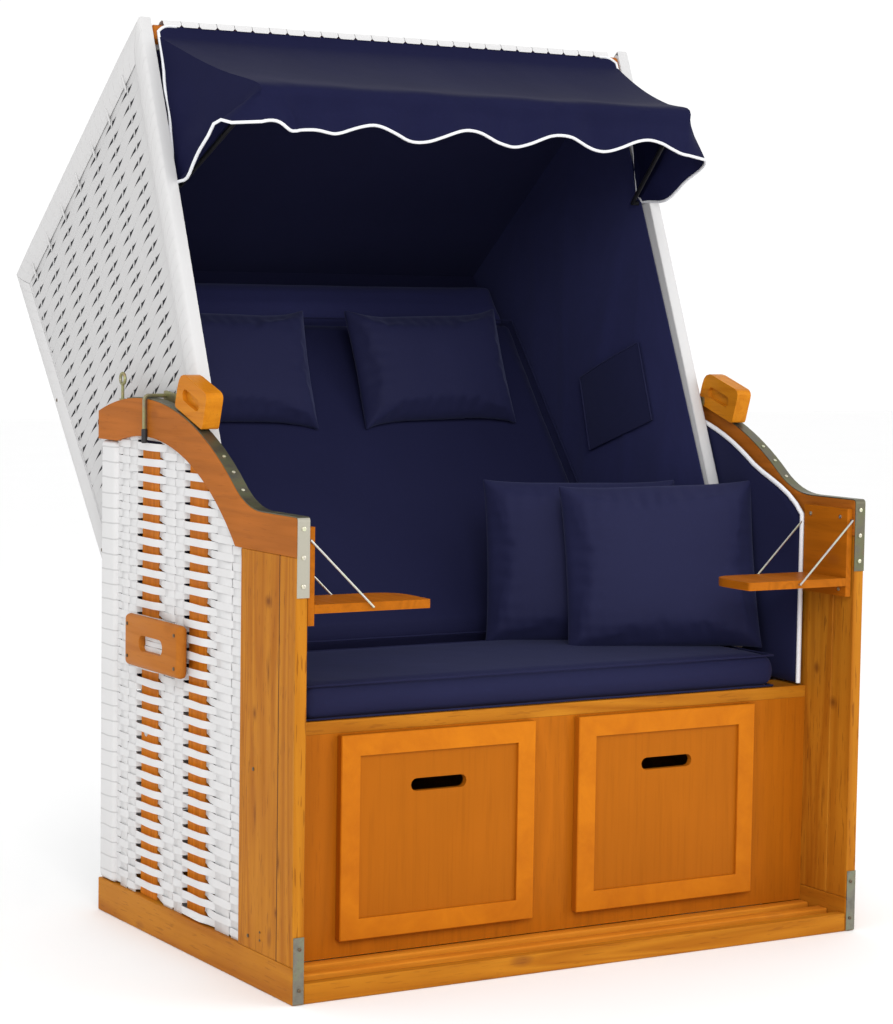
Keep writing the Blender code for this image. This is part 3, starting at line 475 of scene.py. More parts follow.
def panel_look(amber):
    """The footrests' fronts: a frame painted lighter, as a painted highlight, round a sunken panel of the same
    wood with broad, cloudy figure.
    """
    light = tuple(part * 0.95 for part in amber)
    dark = tuple(part * 0.70 for part in amber)
    look = varnished_wood("panel_wood", "Z", light, dark, 0.12, 0.0, (5, 4, 8))
    tree = look.node_tree
    shader = tree.nodes["Principled BSDF"]
    split = tree.nodes.new("ShaderNodeSeparateXYZ")
    tree.links.new(object_place(tree), split.inputs[0])
    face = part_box("footrest_front_l")[0].y
    # Painted highlight: the frame's face gets a lighter colour than the sunken panel of the same wood.
    frame_part = reckoned(tree, "LESS_THAN", split.outputs[1], face + 0.0035)
    sunken = shader.inputs["Base Color"].links[0].from_socket
    grain = noise_at(tree, object_place(tree, (4, 4, 4)), 3.0, 4.0, 0.65, 0.4)
    light = ramp(tree, grain, [(0.32, amber), (0.66, (0.56, 0.170, 0.007))])
    tree.links.new(mixed(tree, frame_part, sunken, light), shader.inputs["Base Color"])
    return look


def white_strip(name, colour, bands=None, period=0.015, groove=0.0006):
    """Flat white plastic strip; bands is the axis along which it is wound, with a fine groove and a line of
    painted shade at each turn.
    """
    look, tree, shader = new_look(name)
    cloud = noise_at(tree, object_place(tree, (1, 1, 1)), 9.0, 3.0, 0.6)
    shade = mixed(tree, grey_ramp(tree, cloud, [(0.3, 0.0), (0.75, 0.35)]), colour,
                  tuple(part * 0.93 for part in colour))
    ribs = noise_at(tree, object_place(tree, (60, 60, 900)), 1.0, 2.0, 0.5)
    normal = bumped(tree, shader, ribs, 0.0002, 0.2)
    if bands is not None:
        place = object_place(tree, (1, 1, 1))
        split = tree.nodes.new("ShaderNodeSeparateXYZ")
        tree.links.new(place, split.inputs[0])
        along = reckoned(tree, "DIVIDE", split.outputs[bands], period)
        wander = noise_at(tree, place, 14.0, 1.0)
        along = reckoned(tree, "ADD", along, reckoned(tree, "MULTIPLY", wander, 0.25))
        turnline = reckoned(tree, "PINGPONG", reckoned(tree, "FRACT", along), 0.5)
        # Painted shade: each turn's groove is coloured darker than the strip.
        line = grey_ramp(tree, turnline, [(0.0, 0.0), (0.03, 0.1), (0.06, 1.0)])
        shade = mixed(tree, line, tuple(part * 0.74 for part in colour), shade)
        bumped(tree, shader, line, groove, 0.6, normal)
    tree.links.new(shade, shader.inputs["Base Color"])
    shader.inputs["Roughness"].default_value = 0.42
    shader.inputs["Specular IOR Level"].default_value = 0.35
    return look


def hood_side_look(colour):
    """The white rim of the hood's sides, and painted shade over the sunken field behind the weave: near black,
    darker than the navy lining that lies behind it.
    """
    look = white_strip("hood_side_frame_shaded", colour)
    tree = look.node_tree
    shader = tree.nodes["Principled BSDF"]
    place = tree.nodes.new("ShaderNodeTexCoord")
    split = tree.nodes.new("ShaderNodeSeparateXYZ")
    tree.links.new(place.outputs["Object"], split.inputs[0])
    out = reckoned(tree, "ABSOLUTE", split.outputs[0])
    away = reckoned(tree, "ABSOLUTE", reckoned(tree, "SUBTRACT", out, HOOD_HALF - RIM_RECESS))
    sunken = reckoned(tree, "LESS_THAN", away, 0.0006)
    white = shader.inputs["Base Color"].links[0].from_socket
    # Painted shade for the depth seen through the slits: the sunken field gets a near-black colour with fine
    # noise; the navy lining lies behind it.
    cloth = noise_at(tree, object_place(tree, (1, 1, 1)), 300.0, 2.0)
    dark = mixed(tree, cloth, (0.004, 0.005, 0.008), (0.010, 0.011, 0.018))
    tree.links.new(mixed(tree, sunken, white, dark), shader.inputs["Base Color"])
    return look


def navy_cloth(name, colour, sheen=0.10, rough=0.72, thread=0.0011, depth=0.00012, mottled=0.25,
               shine=0.14):
    """Woven polyester: crossed threads, faint slubs and a soft sheen."""
    look, tree, shader = new_look(name)
    place = object_place(tree)
    waves = []
    for axis in ("X", "Y", "Z"):
        wave = add(tree, "ShaderNodeTexWave", Scale=0.314 / thread, Distortion=0.6, Detail=1.0)
        wave.bands_direction = axis
        tree.links.new(place, wave.inputs["Vector"])
        waves.append(wave.outputs["Fac"])
    threads = mixed(tree, 0.5, waves[0], waves[1])
    threads = mixed(tree, 0.5, threads, waves[2])
    slub = noise_at(tree, place, 130.0, 3.0, 0.7)
    cloud = noise_at(tree, place, 6.0, 3.0, 0.6)
    shade = mixed(tree, grey_ramp(tree, cloud, [(0.3, 0.0), (0.75, mottled)]), colour,
                  tuple(part * 1.35 for part in colour))
    shade = mixed(tree, grey_ramp(tree, threads, [(0.3, 0.22), (0.7, 0.0)]), shade,
                  tuple(part * 0.55 for part in colour))
    shade = mixed(tree, grey_ramp(tree, slub, [(0.55, 0.0), (0.75, 0.16)]), shade,
                  tuple(part * 1.8 for part in colour))
    tree.links.new(shade, shader.inputs["Base Color"])
    shader.inputs["Roughness"].default_value = rough
    shader.inputs["Specular IOR Level"].default_value = shine
    shader.inputs["Sheen Weight"].default_value = sheen
    shader.inputs["Sheen Roughness"].default_value = 0.45
    shader.inputs["Sheen Tint"].default_value = (0.45, 0.50, 0.85, 1)
    height = mixed(tree, 0.35, threads, slub)
    normal = bumped(tree, shader, height, depth, 0.7)
    soft = noise_at(tree, place, 16.0, 2.0, 0.5)
    bumped(tree, shader, soft, 0.0025, 0.35, normal)
    return look


def zinc(name, colour=(0.56, 0.52, 0.36), second=(0.50, 0.50, 0.47), rough=0.30):
    """Plated steel: yellowish, faintly iridescent and a little worn."""
    look, tree, shader = new_look(name)
    place = object_place(tree)
    cloud = noise_at(tree, place, 38.0, 3.0, 0.6)
    third = tuple(part * share for part, share in zip(colour, (1.0, 1.12, 0.95)))
    fourth = tuple(part * share for part, share in zip(colour, (1.2, 0.95, 0.95)))
    tint = ramp(tree, cloud, [(0.30, second), (0.48, colour), (0.60, third), (0.74, fourth)])
    grime = noise_at(tree, place, 210.0, 3.0, 0.7)
    tint = mixed(tree, grey_ramp(tree, grime, [(0.5, 0.0), (0.8, 0.45)]), tint, (0.12, 0.10, 0.06))
    tree.links.new(tint, shader.inputs["Base Color"])
    shader.inputs["Metallic"].default_value = 0.9
    tree.links.new(grey_ramp(tree, cloud, [(0.3, rough), (0.7, rough + 0.16)]), shader.inputs["Roughness"])
    bumped(tree, shader, grime, 0.0001, 0.4)
    return look


def strap_look_highlit():
    """The left rail's strip: the zinc's own dull colour along the top, and a painted highlight, a lighter
    colour, where it is folded down over the front.
    """
    look = zinc("strap_zinc_left_highlight", (0.150, 0.140, 0.095), (0.120, 0.118, 0.100), 0.40)
    tree = look.node_tree
    shader = tree.nodes["Principled BSDF"]
    split = tree.nodes.new("ShaderNodeSeparateXYZ")
    tree.links.new(object_place(tree), split.inputs[0])
    # Painted highlight: the fold over the front gets a lighter colour than the same zinc on top.
    fold = reckoned(tree, "LESS_THAN", split.outputs[1], FRONT_Y + 0.0002)
    dull = shader.inputs["Base Color"].links[0].from_socket
    tree.links.new(mixed(tree, fold, dull, (0.42, 0.40, 0.33)), shader.inputs["Base Color"])
    return look


def plain_finish(name, colour, rough, metal=0.0, grain=120.0, depth=0.0001):
    look, tree, shader = new_look(name)
    place = object_place(tree)
    cloud = noise_at(tree, place, grain, 3.0, 0.6)
    shade = mixed(tree, grey_ramp(tree, cloud, [(0.35, 0.0), (0.75, 0.5)]), colour,
                  tuple(part * 0.72 for part in colour))
    tree.links.new(shade, shader.inputs["Base Color"])
    tree.links.new(grey_ramp(tree, cloud, [(0.3, rough), (0.7, rough + 0.1)]), shader.inputs["Roughness"])
    shader.inputs["Metallic"].default_value = metal
    bumped(tree, shader, cloud, depth, 0.5)
    return look


def make_looks():
    colours = bpy.context.scene.beach_chair_colours
    honey = tuple(colours.honey)
    amber = tuple(colours.amber)
    deep = tuple(colours.deep_grain)
    rail = tuple(colours.rail)
    navy = tuple(colours.navy)
    white = tuple(colours.strip_white)

    def darker(colour, share):
        return tuple(part * share for part in colour)

    looks["board_z"] = knotted(varnished_wood("pine_upright", "Z", honey, deep, 0.75, 0.95), KNOTS)
    looks["board_x"] = varnished_wood("pine_crosswise", "X", darker(honey, 1.05), deep, 0.6, 0.5, (3, 1, 2))
    looks["board_y"] = varnished_wood("pine_lengthwise", "Y", honey, deep, 0.7, 0.6, (1, 5, 2))
    looks["floor_slat"] = varnished_wood("floor_slat_wood", "X", (0.72, 0.270, 0.024), (0.50, 0.150, 0.010),
                                         0.4, 0.2, (2, 2, 5))
    looks["rail"] = varnished_wood("rail_wood", "Y", rail, darker(rail, 0.62), 0.45, 0.35, (2, 7, 3))
    # The side slats are the rail's wood painted much lighter: painted light offsetting the shade they sit in.
    looks["slat"] = varnished_wood("slat_wood", "Z", (0.80, 0.260, 0.020), (0.50, 0.140, 0.010),
                                   0.5, 0.2, (4, 2, 6))
    looks["seat_x"] = varnished_wood("seat_front_wood", "Z", amber, darker(amber, 0.72),
                                     0.35, 0.25, (6, 3, 1))
    looks["panel"] = panel_look(amber)
    looks["grip"] = varnished_wood("grip_wood", "Y", (0.64, 0.245, 0.014), (0.45, 0.135, 0.006),
                                   0.4, 0.3, (9, 2, 4), 0.28)
    looks["table"] = varnished_wood("table_wood", "Y", darker(amber, 0.95), darker(amber, 0.62),
                                    0.5, 0.3, (7, 7, 1))
    looks["handle"] = varnished_wood("handle_wood", "Y", (0.47, 0.165, 0.024), (0.35, 0.105, 0.012),
                                     0.4, 0.2, (8, 3, 5))
    looks["strip"] = white_strip("woven_strip", white)
    looks["post"] = white_strip("wrapped_post", white, 2, 0.0290, 0.0006)
    # The hood's strips, rims, side frames and shell are darker copies of the one strip white: painted shade on
    # the same plastic.
    looks["hood_strip_shaded"] = white_strip("hood_strip_shaded", darker(white, 0.80))
    looks["rim"] = white_strip("wrapped_rim_shaded", darker(white, 0.90))
    looks["hood_side"] = hood_side_look(darker(white, 0.90))
    looks["shell"] = white_strip("shell_strip_shaded", darker(white, 0.92))
    looks["cloth"] = navy_cloth("navy_cloth", darker(navy, 1.06), 0.08, 0.72, 0.0011, 0.00012, 0.25, 0.10)
    looks["pillow"] = navy_cloth("navy_pillow_cloth", darker(navy, 1.20), 0.14)
    looks["lining"] = navy_cloth("navy_lining_cloth", darker(navy, 0.95), 0.06, 0.8)
    # The walls and the head cushion get the navy at twice its strength: painted light on the same cloth as the
    # lining.
    looks["wall"] = navy_cloth("navy_wall_cloth_lit", darker(navy, 2.0), 0.10, 0.8)
    looks["awning"] = navy_cloth("navy_awning_cloth", darker(navy, 0.86), 0.0, 0.6, 0.0009, 0.00008,
                                 0.4, 0.03)
    looks["piping"] = plain_finish("white_piping", (0.80, 0.81, 0.84), 0.55, 0.0, 400.0, 0.0002)
    looks["zinc"] = zinc("yellow_zinc", (0.30, 0.27, 0.15), (0.26, 0.25, 0.20), 0.36)
    looks["strap"] = zinc("strap_zinc", (0.150, 0.140, 0.095), (0.120, 0.118, 0.100), 0.40)
    looks["light_strap"] = strap_look_highlit()
    looks["grey_zinc"] = zinc("grey_zinc", (0.22, 0.21, 0.17), (0.17, 0.165, 0.14), 0.40)
    looks["bright"] = zinc("bright_zinc", (0.66, 0.62, 0.50), (0.58, 0.57, 0.54), 0.25)
    looks["wire"] = zinc("wire_zinc", (0.50, 0.49, 0.45), (0.42, 0.42, 0.42), 0.30)
    looks["joint"] = plain_finish("dark_joint", (0.10, 0.032, 0.006), 0.8)
    looks["rubber"] = plain_finish("black_rubber", (0.012, 0.012, 0.014), 0.55)
    looks["black"] = plain_finish("black_paint", (0.014, 0.014, 0.016), 0.40, 0.3)
    looks["screw"] = plain_finish("dark_screw", (0.16, 0.12, 0.08), 0.35, 0.85)
    looks["inside"] = varnished_wood("box_wood", "X", (0.36, 0.15, 0.05), (0.24, 0.09, 0.025), 0.5, 0.3)


def finish_cad_nodes():
    """Give each CAD node that stays in view the finish of the real piece."""
    for base, look in (
        ("base_side_board", "board_y"), ("corner_board", "board_z"), ("wide_board", "board_z"),
        ("side_slat_front", "slat"), ("side_slat_rear", "slat"), ("arm_rail", "rail"),
        ("carry_handle", "handle"), ("lower_bracket", "grey_zinc"),
        ("eye_bolt", "zinc"), ("table_plate", "table"), ("table_board", "table"), ("table_stay", "wire"),
        ("footrest_front", "panel"), ("footrest_box", "inside"), ("latch_lever", "zinc"),
        ("latch_grip", "grip"), ("hood_side", "hood_side"), ("side_weave", "strip"),
        ("side_lining", "cloth"), ("neck_pillow", "pillow"),
    ):
        for _, tag, _ in SIDES:
            paint(base + "_" + tag, looks[look])
    # The left strip carries the painted highlight on its fold; the right one is plain zinc.
    paint("latch_strip_l", looks["light_strap"])
    paint("latch_strip_r", looks["strap"])
    for name, look in (
        ("base_front_board", "board_x"), ("base_back_board", "board_x"), ("floor_slat_front", "floor_slat"),
        ("floor_slat_rear", "floor_slat"), ("seat_front_board", "seat_x"), ("seat_partition", "inside"),
        ("seat_deck", "board_x"), ("hood_top_rail", "rail"), ("hood_shell", "shell"), ("rear_weave", "strip"),
        ("hood_lining", "lining"), ("awning_bow", "black"), ("awning_cloth", "awning"),
        ("seat_cushion", "cloth"), ("back_cushion", "cloth"), ("head_cushion", "cloth"),
        ("throw_pillow_front", "pillow"), ("throw_pillow_rear", "pillow"),
    ):
        paint(name, looks[look])


def paint(name, look):
    thing = nodes[name]
    if not thing.material_slots:
        thing.data.materials.append(look)
    for place in thing.material_slots:
        place.material = look


# Weave

def under_rail(height):
    """How far the rail's curved underside leaves room at a height, as two depths in the row's frame."""
    rise = height - UNDER_CENTRE[1]
    if rise >= UNDER_RADIUS:
        return None
    half = math.sqrt(UNDER_RADIUS ** 2 - rise ** 2)
    return UNDER_CENTRE[0] - half, UNDER_CENTRE[0] + half


STRIP_START = BASE_HEIGHT + 0.0035
STRIP_PITCH = 0.01456
STRIP_HEIGHT = 0.0139
STRIP_THICKNESS = 0.0011
SLAT_REACH = 0.033
SIDE_WARPS = ((0.188, 0.205, "board"), (0.212, 0.248, "stake"), (0.256, 0.312, "stake"),
              (0.368, 0.440, "slat"), (0.450, 0.484, "stake"), (0.490, 0.528, "stake"),
              (0.572, 0.644, "slat"), (0.654, 0.687, "stake"), (0.693, 0.722, "stake"),
              (0.735, 0.760, "post"))


def side_keys(parity):
    """Key depths and places out from the middle along one strip, for even or odd strips."""
    over, under, hidden = 0.5934, 0.5901, 0.5836
    keys = []
    for index, (near, far, kind) in enumerate(SIDE_WARPS):
        above = (index % 2 == 1) == parity
        near, far = FRONT_Y + near, FRONT_Y + far
        if kind in ("board", "post"):
            keys.extend([(near, 0.5905), (far, 0.5905)])
        elif kind == "slat" and above:
            keys.extend([(near - SLAT_REACH, 0.5915), (near, 0.5966)])
            keys.extend([(far, 0.5966), (far + SLAT_REACH * 0.8, 0.5915)])
        elif kind == "slat":
            keys.extend([(near - SLAT_REACH, 0.5905), (near, hidden), (far, hidden)])
        else:
            keys.extend([(near, over if above else under), (far, over if above else under)])
    return sorted(keys)


def side_taper(y, above):
    """How much a strip narrows where it dips behind a slat."""
    if above:
        return 1.0
    slats = [(FRONT_Y + near, FRONT_Y + far) for near, far, kind in SIDE_WARPS if kind == "slat"]
    nearest = min(max(near - y, y - far, 0.0) for near, far in slats)
    return 1.0 - 0.38 * max(0.0, 1 - nearest / SLAT_REACH)


def basket_side_weave(side, tag):
    """One woven side: flat strips over and under single stakes and the two wooden slats."""
    pitch = bpy.context.scene.beach_chair_sizes.strip_pitch
    height = pitch * STRIP_HEIGHT / STRIP_PITCH
    runs = []
    rows = int((0.932 - STRIP_START) / pitch)
    for row in range(rows):
        middle = STRIP_START + (row + 0.5) * pitch
        even = row % 2 == 0
        keys = side_keys(even)
        near, far = keys[0][0], FRONT_Y + 0.745
        if middle > RAIL_UNDER - 0.01:
            room = under_rail(middle - 0.004)
            if room is None:
                continue
            near, far = max(near, room[0]), min(far, room[1])
        count = max(6, int((far - near) / 0.0055))
        run = []
        for step in range(count + 1):
            y = near + (far - near) * step / count
            x = side * eased(y, keys)
            slack = 0.0004 * noise.noise(Vector((y * 30, row * 1.7, side)))
            low = height / 2
            high = height / 2
            front_slat = y < FRONT_Y + 0.470
            low *= side_taper(y, even == front_slat)
            lean = 0.0005 * math.sin(y * 23 + row)
            tip = 0.0007 * math.sin(y * 61 + row * 2.1)
            bottom, top = middle - low + lean, middle + high + lean
            run.append(((x + slack + tip, y, bottom), (x + slack - tip, y, top)))
        runs.append(run)
    strips = ribbons(runs, STRIP_THICKNESS)
    stakes = []
    for near, far, kind in SIDE_WARPS:
        if kind != "stake":
            continue
        y0, y1 = FRONT_Y + near, FRONT_Y + far
        top = under_top((y0 + y1) / 2)
        stakes.append(block((min(side * 0.5912, side * 0.5923), y0, BASE_HEIGHT),
                            (max(side * 0.5912, side * 0.5923), y1, top), 0.0003, 1))
    thing = joined([strips, *stakes])
    dressed(thing, "woven_side_" + tag, looks["strip"], "basket", 50)
    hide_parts("side_weave_" + tag)


def under_top(y):
    rise = math.sqrt(max(0.0, UNDER_RADIUS ** 2 - (y - UNDER_CENTRE[0]) ** 2))
    return min(0.925, UNDER_CENTRE[1] + rise + 0.004)


def basket_post(side, tag):
    """The rear corner post, wound with strip."""
    near, far = FRONT_Y + 0.742, FRONT_Y + BASKET_DEPTH
    outer = side * (HALF_WIDTH - 0.001)
    inner = side * (HALF_WIDTH - 0.024)
    thing = block((min(inner, outer), near, BASE_HEIGHT), (max(inner, outer), far, 0.9065), 0.010, 5)
    dressed(thing, "corner_post_" + tag, looks["post"], "basket")


def woven_field(rows, lengths, pitch, at, step=0.010, height=0.0013):
    """Strips side by side over evenly spaced stakes. at(along, row, out) gives a point."""
    runs = []
    for row in range(rows):
        start, stop = lengths(row)
        count = max(4, int((stop - start) / step))
        run = []
        for index in range(count + 1):
            along = start + (stop - start) * index / count
            swing = math.cos(math.pi * (along / pitch + row))
            run.append((at(along, row - 0.485, height * swing), at(along, row + 0.485, height * swing)))
        runs.append(run)
    return ribbons(runs, STRIP_THICKNESS)


def rear_basket_weave():
    half = HALF_WIDTH - 0.024
    rows = int((0.420 - BASE_HEIGHT) / STRIP_PITCH)

    def at(along, row, out):
        return (along, 0.4035 - 0.002 + out, BASE_HEIGHT + (row + 0.5) * STRIP_PITCH)

    strips = woven_field(rows, lambda row: (-half, half), 0.072, at)
    stakes = []
    count = int(half * 2 / 0.072)
    for index in range(count + 1):
        x = (index - count / 2) * 0.072
        stakes.append(block((x - 0.009, 0.4010, BASE_HEIGHT), (x + 0.009, 0.4020, 0.4195), 0.0003, 1))
    binding = block((-half, 0.3935, 0.409), (half, 0.4048, 0.4215), 0.005, 3)
    thing = joined([strips, binding, *stakes])
    dressed(thing, "woven_rear", looks["strip"], "basket", 50)
    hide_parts("rear_weave")


def hood_ring(insets):
    """The corners of the hood's side in its own frame, with its front, roof, back and foot moved in."""
    corners = [Vector(place) for place in ((-HOOD_FRONT, FRONT_FOOT), (-HOOD_FRONT, HOOD_HEIGHT),
                                           (CORNER_BACK, CORNER_HEIGHT), (HEEL_BACK, -HEEL_DROP))]
    lines = []
    for index, inset in enumerate(insets):
        way = (corners[(index + 1) % 4] - corners[index]).normalized()
        lines.append((corners[index] + Vector((way.y, -way.x)) * inset, way))
    ring = []
    for index, (start, way) in enumerate(lines):
        before, heading = lines[index - 1]
        gap = start - before
        turn = heading.x * way.y - heading.y * way.x
        ring.append(before + heading * ((gap.x * way.y - gap.y * way.x) / turn))
    return ring


def hood_corners(inset):
    return hood_ring((inset, inset, inset, inset))


def span_inside(start, direction, corners):
    """Where a line crosses a ring of corners, as its first and last distances along the direction."""
    hits = []
    for index in range(len(corners)):
        a, b = corners[index - 1], corners[index]
        edge = b - a
        cross = direction.x * edge.y - direction.y * edge.x
        if abs(cross) < 1e-9:
            continue
        gap = a - start
        along = (gap.x * edge.y - gap.y * edge.x) / cross
        share = (gap.x * direction.y - gap.y * direction.x) / cross
        if -1e-6 <= share <= 1 + 1e-6:
            hits.append(along)
    return (min(hits), max(hits)) if len(hits) >= 2 else None


HOOD_STRIP = 0.02756
HOOD_STAKE = 0.0905
FIRST_STAKE = 0.0965
ROW_SHIFT = 0.19
SLIT_AHEAD = 0.025
SLIT_BEHIND = 0.037
SLIT_OPEN = 0.0088
SLIT_DRIFT = 0.0021
HANDLE_LENGTH = 0.236
SLAT_WIDTH = 0.027
SLAT_GAP = 0.0308
RIM_INSETS = (0.042, 0.060, 0.042, 0.042)


def slit_at(s):
    """How far a slit between two strips is open at a depth, and how far it strays from the joint."""
    away = (s + HOOD_FRONT - FIRST_STAKE) / HOOD_STAKE
    away = (away - round(away)) * HOOD_STAKE
    reach = SLIT_BEHIND if away > 0 else SLIT_AHEAD
    open_by = SLIT_OPEN * max(0.0, 1 - abs(away) / reach) ** 0.85
    return open_by, SLIT_DRIFT * math.sin(2 * math.pi * away / HOOD_STAKE)


def hood_side_weave(side, tag):
    """Wide strips laid along the roof's slope, with slits that taper away from where a stake ties them."""
    corners = hood_ring([inset - 0.006 for inset in RIM_INSETS])
    roof = (Vector((CORNER_BACK, CORNER_HEIGHT)) - Vector((-HOOD_FRONT, HOOD_HEIGHT))).normalized()
    down = Vector((roof.y, -roof.x))
    origin = Vector((-HOOD_FRONT, HOOD_HEIGHT))
    runs = []
    mid = HOOD_HALF - 0.0012
    rows = int(1.25 / HOOD_STRIP)
    for row in range(1, rows):
        centre = origin + down * ((row + ROW_SHIFT) * HOOD_STRIP)
        reach = span_inside(centre, roof, corners)
        if not reach or reach[1] - reach[0] < 0.02:
            continue
        count = max(4, int((reach[1] - reach[0]) / 0.0040))
        run = []
        for index in range(count + 1):
            along = reach[0] + (reach[1] - reach[0]) * index / count
            spot = centre + roof * along
            edges = []
            for way in (-1, 1):
                edge = spot + down * (way * HOOD_STRIP / 2)
                open_by, drift = slit_at(edge.x)
                edge = edge - down * (way * (0.00015 + open_by / 2) + drift)
                lift = 0.0010 * open_by / SLIT_OPEN
                edges.append((side * (mid - lift), edge.x, edge.y))
            run.append(tuple(edges))
        runs.append(run)
    strips = ribbons(runs, 0.0009)
    ties = []
    for row in range(1, rows + 1):
        centre = origin + down * ((row - 0.5 + ROW_SHIFT) * HOOD_STRIP)
        reach = span_inside(centre, roof, corners)
        if not reach:
            continue
        for number in range(-1, 9):
            s = FIRST_STAKE + number * HOOD_STAKE - HOOD_FRONT
            along = (s - centre.x) / roof.x
            if not reach[0] + 0.004 < along < reach[1] - 0.004:
                continue
            spot = centre + roof * along
            top, foot = spot + Vector((-0.003, 0.0062)), spot + Vector((0.003, -0.0062))
            out = side * (mid + 0.0004)
            ties.append([((out, top.x - 0.0020, top.y), (out, top.x + 0.0020, top.y)),
                         ((out, foot.x - 0.0020, foot.y), (out, foot.x + 0.0020, foot.y))])
    bars = ribbons(ties, 0.0009)
    thing = placed(joined([strips, bars]), HOOD)
    faced_out(thing)
    # The hood's side strips take the strip white darkened as painted shade.
    dressed(thing, "woven_hood_side_" + tag, looks["hood_strip_shaded"], "hood", 40)


def hood_rim(side, tag):
    """The rim of the hood's side: a round edge wound with strip, tied to the weave at each stake."""
    bulge = (0.0042, 0.0110, 0.0055, 0.0030)
    profile = [(1.0, 0.0), (0.90, 0.45), (0.75, 0.82), (0.55, 1.0),
               (0.35, 0.95), (0.18, 0.70), (0.06, 0.30)]
    turned = [(-0.0004, -0.0012), (-0.0013, -0.004), (-0.0013, -0.012),
              (-0.0013, -0.0195), (-0.0008, -0.0245)]
    rings = []
    for share, rise in profile:
        ring = hood_ring([inset * share for inset in RIM_INSETS])
        rings.append((ring, [0.0002 + part * rise for part in bulge]))
    for inset, out in turned:
        rings.append((hood_ring([inset] * 4), [out] * 4))
    places, faces = [], []
    width = len(rings)
    for edge in range(4):
        start, stop = rings[0][0][edge], rings[0][0][(edge + 1) % 4]
        wraps = max(3, int((stop - start).length / 0.0248))
        for wrap in range(wraps):
            first = len(places)
            turn = ((wrap / wraps, 0.0003), ((wrap + 0.5) / wraps, 0.0002), ((wrap + 1) / wraps, 0.0))
            for share, proud in turn:
                for number, (ring, outs) in enumerate(rings):
                    skew = 0.10 / wraps * (number / width - 0.5)
                    spot = ring[edge].lerp(ring[(edge + 1) % 4], min(1.0, max(0.0, share + skew)))
                    blend = min(1.0, min(share, 1 - share) * wraps / 3)
                    low = min(outs[edge], outs[edge - 1 if share < 0.5 else (edge + 1) % 4])
                    rise = low + (outs[edge] - low) * blend
                    places.append((side * (HOOD_HALF + rise + proud), spot.x, spot.y))
            for ring in range(2):
                for number in range(width - 1):
                    a = first + ring * width + number
                    faces.append((a, a + 1, a + width + 1, a + width))
    rim = thickened(mesh_thing("rim", places, faces), 0.0006)
    ties = []
    for number in range(7):
        s = FIRST_STAKE + number * HOOD_STAKE - HOOD_FRONT
        fall = (HOOD_HEIGHT - CORNER_HEIGHT) / (HOOD_FRONT + CORNER_BACK)
        t = HOOD_HEIGHT - fall * (s + HOOD_FRONT) - RIM_INSETS[1] / math.cos(math.atan(fall))
        line = [(side * (HOOD_HALF + out), s + along, t + rise) for out, along, rise in (
            (-0.001, 0.006, -0.014), (0.002, 0.002, -0.005),
            (0.0048, -0.001, 0.003), (0.0086, -0.006, 0.014))]
        ties.append(cord_along(line, 0.0021))
    thing = placed(joined([rim, *ties]), HOOD)
    faced_out(thing)
    # The rim takes the strip white darkened as painted shade.
    dressed(thing, "hood_rim_" + tag, looks["rim"], "hood", 40)


def roof_band():
    """Short strips that wrap the roof's edge over the top rail, side by side."""
    fall = (HOOD_HEIGHT - CORNER_HEIGHT) / (HOOD_FRONT + CORNER_BACK)

    def line_at(s, lift):
        return (s, HOOD_HEIGHT - fall * (s + HOOD_FRONT) + lift)

    path = [line_at(-0.330, 0.0022), line_at(-0.350, 0.0026), line_at(-0.372, 0.0016), (-0.3795, 1.2770),
            (-0.3844, 1.2745), (-0.3858, 1.2715), (-0.3860, 1.2660), (-0.3860, 1.2618)]
    runs = []
    count = 27
    step = 1.008 / count
    for index in range(count):
        x0 = -0.506 + index * step + 0.0006
        x1 = x0 + step - 0.0012
        sway = 0.0004 * math.sin(index * 2.3)
        run = [((x0, s, t + sway), (x1, s, t + sway)) for s, t in path]
        run[-1] = ((x0 + 0.0040, *run[-1][0][1:]), (x1 - 0.0040, *run[-1][1][1:]))
        runs.append(run)
    thing = placed(ribbons(runs, 0.0010), HOOD)
    faced_out(thing)
    dressed(thing, "roof_band", looks["strip"], "hood", 50)


def shell_line():
    """The outer line of the hood's roof and back in its own frame, with its rounded corner."""
    outer = hood_corners(0.002)
    start = Vector((-HOOD_FRONT + 0.031, 0))
    slope = (outer[2].y - outer[1].y) / (outer[2].x - outer[1].x)
    start.y = outer[1].y + slope * (start.x - outer[1].x)
    before = (outer[2] - start).normalized()
    after = (outer[3] - outer[2]).normalized()
    enter = outer[2] - before * 0.030
    leave = outer[2] + after * 0.030
    bend = []
    for index in range(1, 8):
        share = index / 8
        a = enter.lerp(outer[2], share)
        b = outer[2].lerp(leave, share)
        bend.append(a.lerp(b, share))
    return [start, enter, *bend, leave, outer[3]]


def walk(line, distance):
    """The point and the outward direction at a distance along a line."""
    for a, b in zip(line, line[1:]):
        length = (b - a).length
        if distance <= length:
            way = (b - a).normalized()
            return a + way * distance, Vector((-way.y, way.x))
        distance -= length
    way = (line[-1] - line[-2]).normalized()
    return line[-1] + way * distance, Vector((-way.y, way.x))


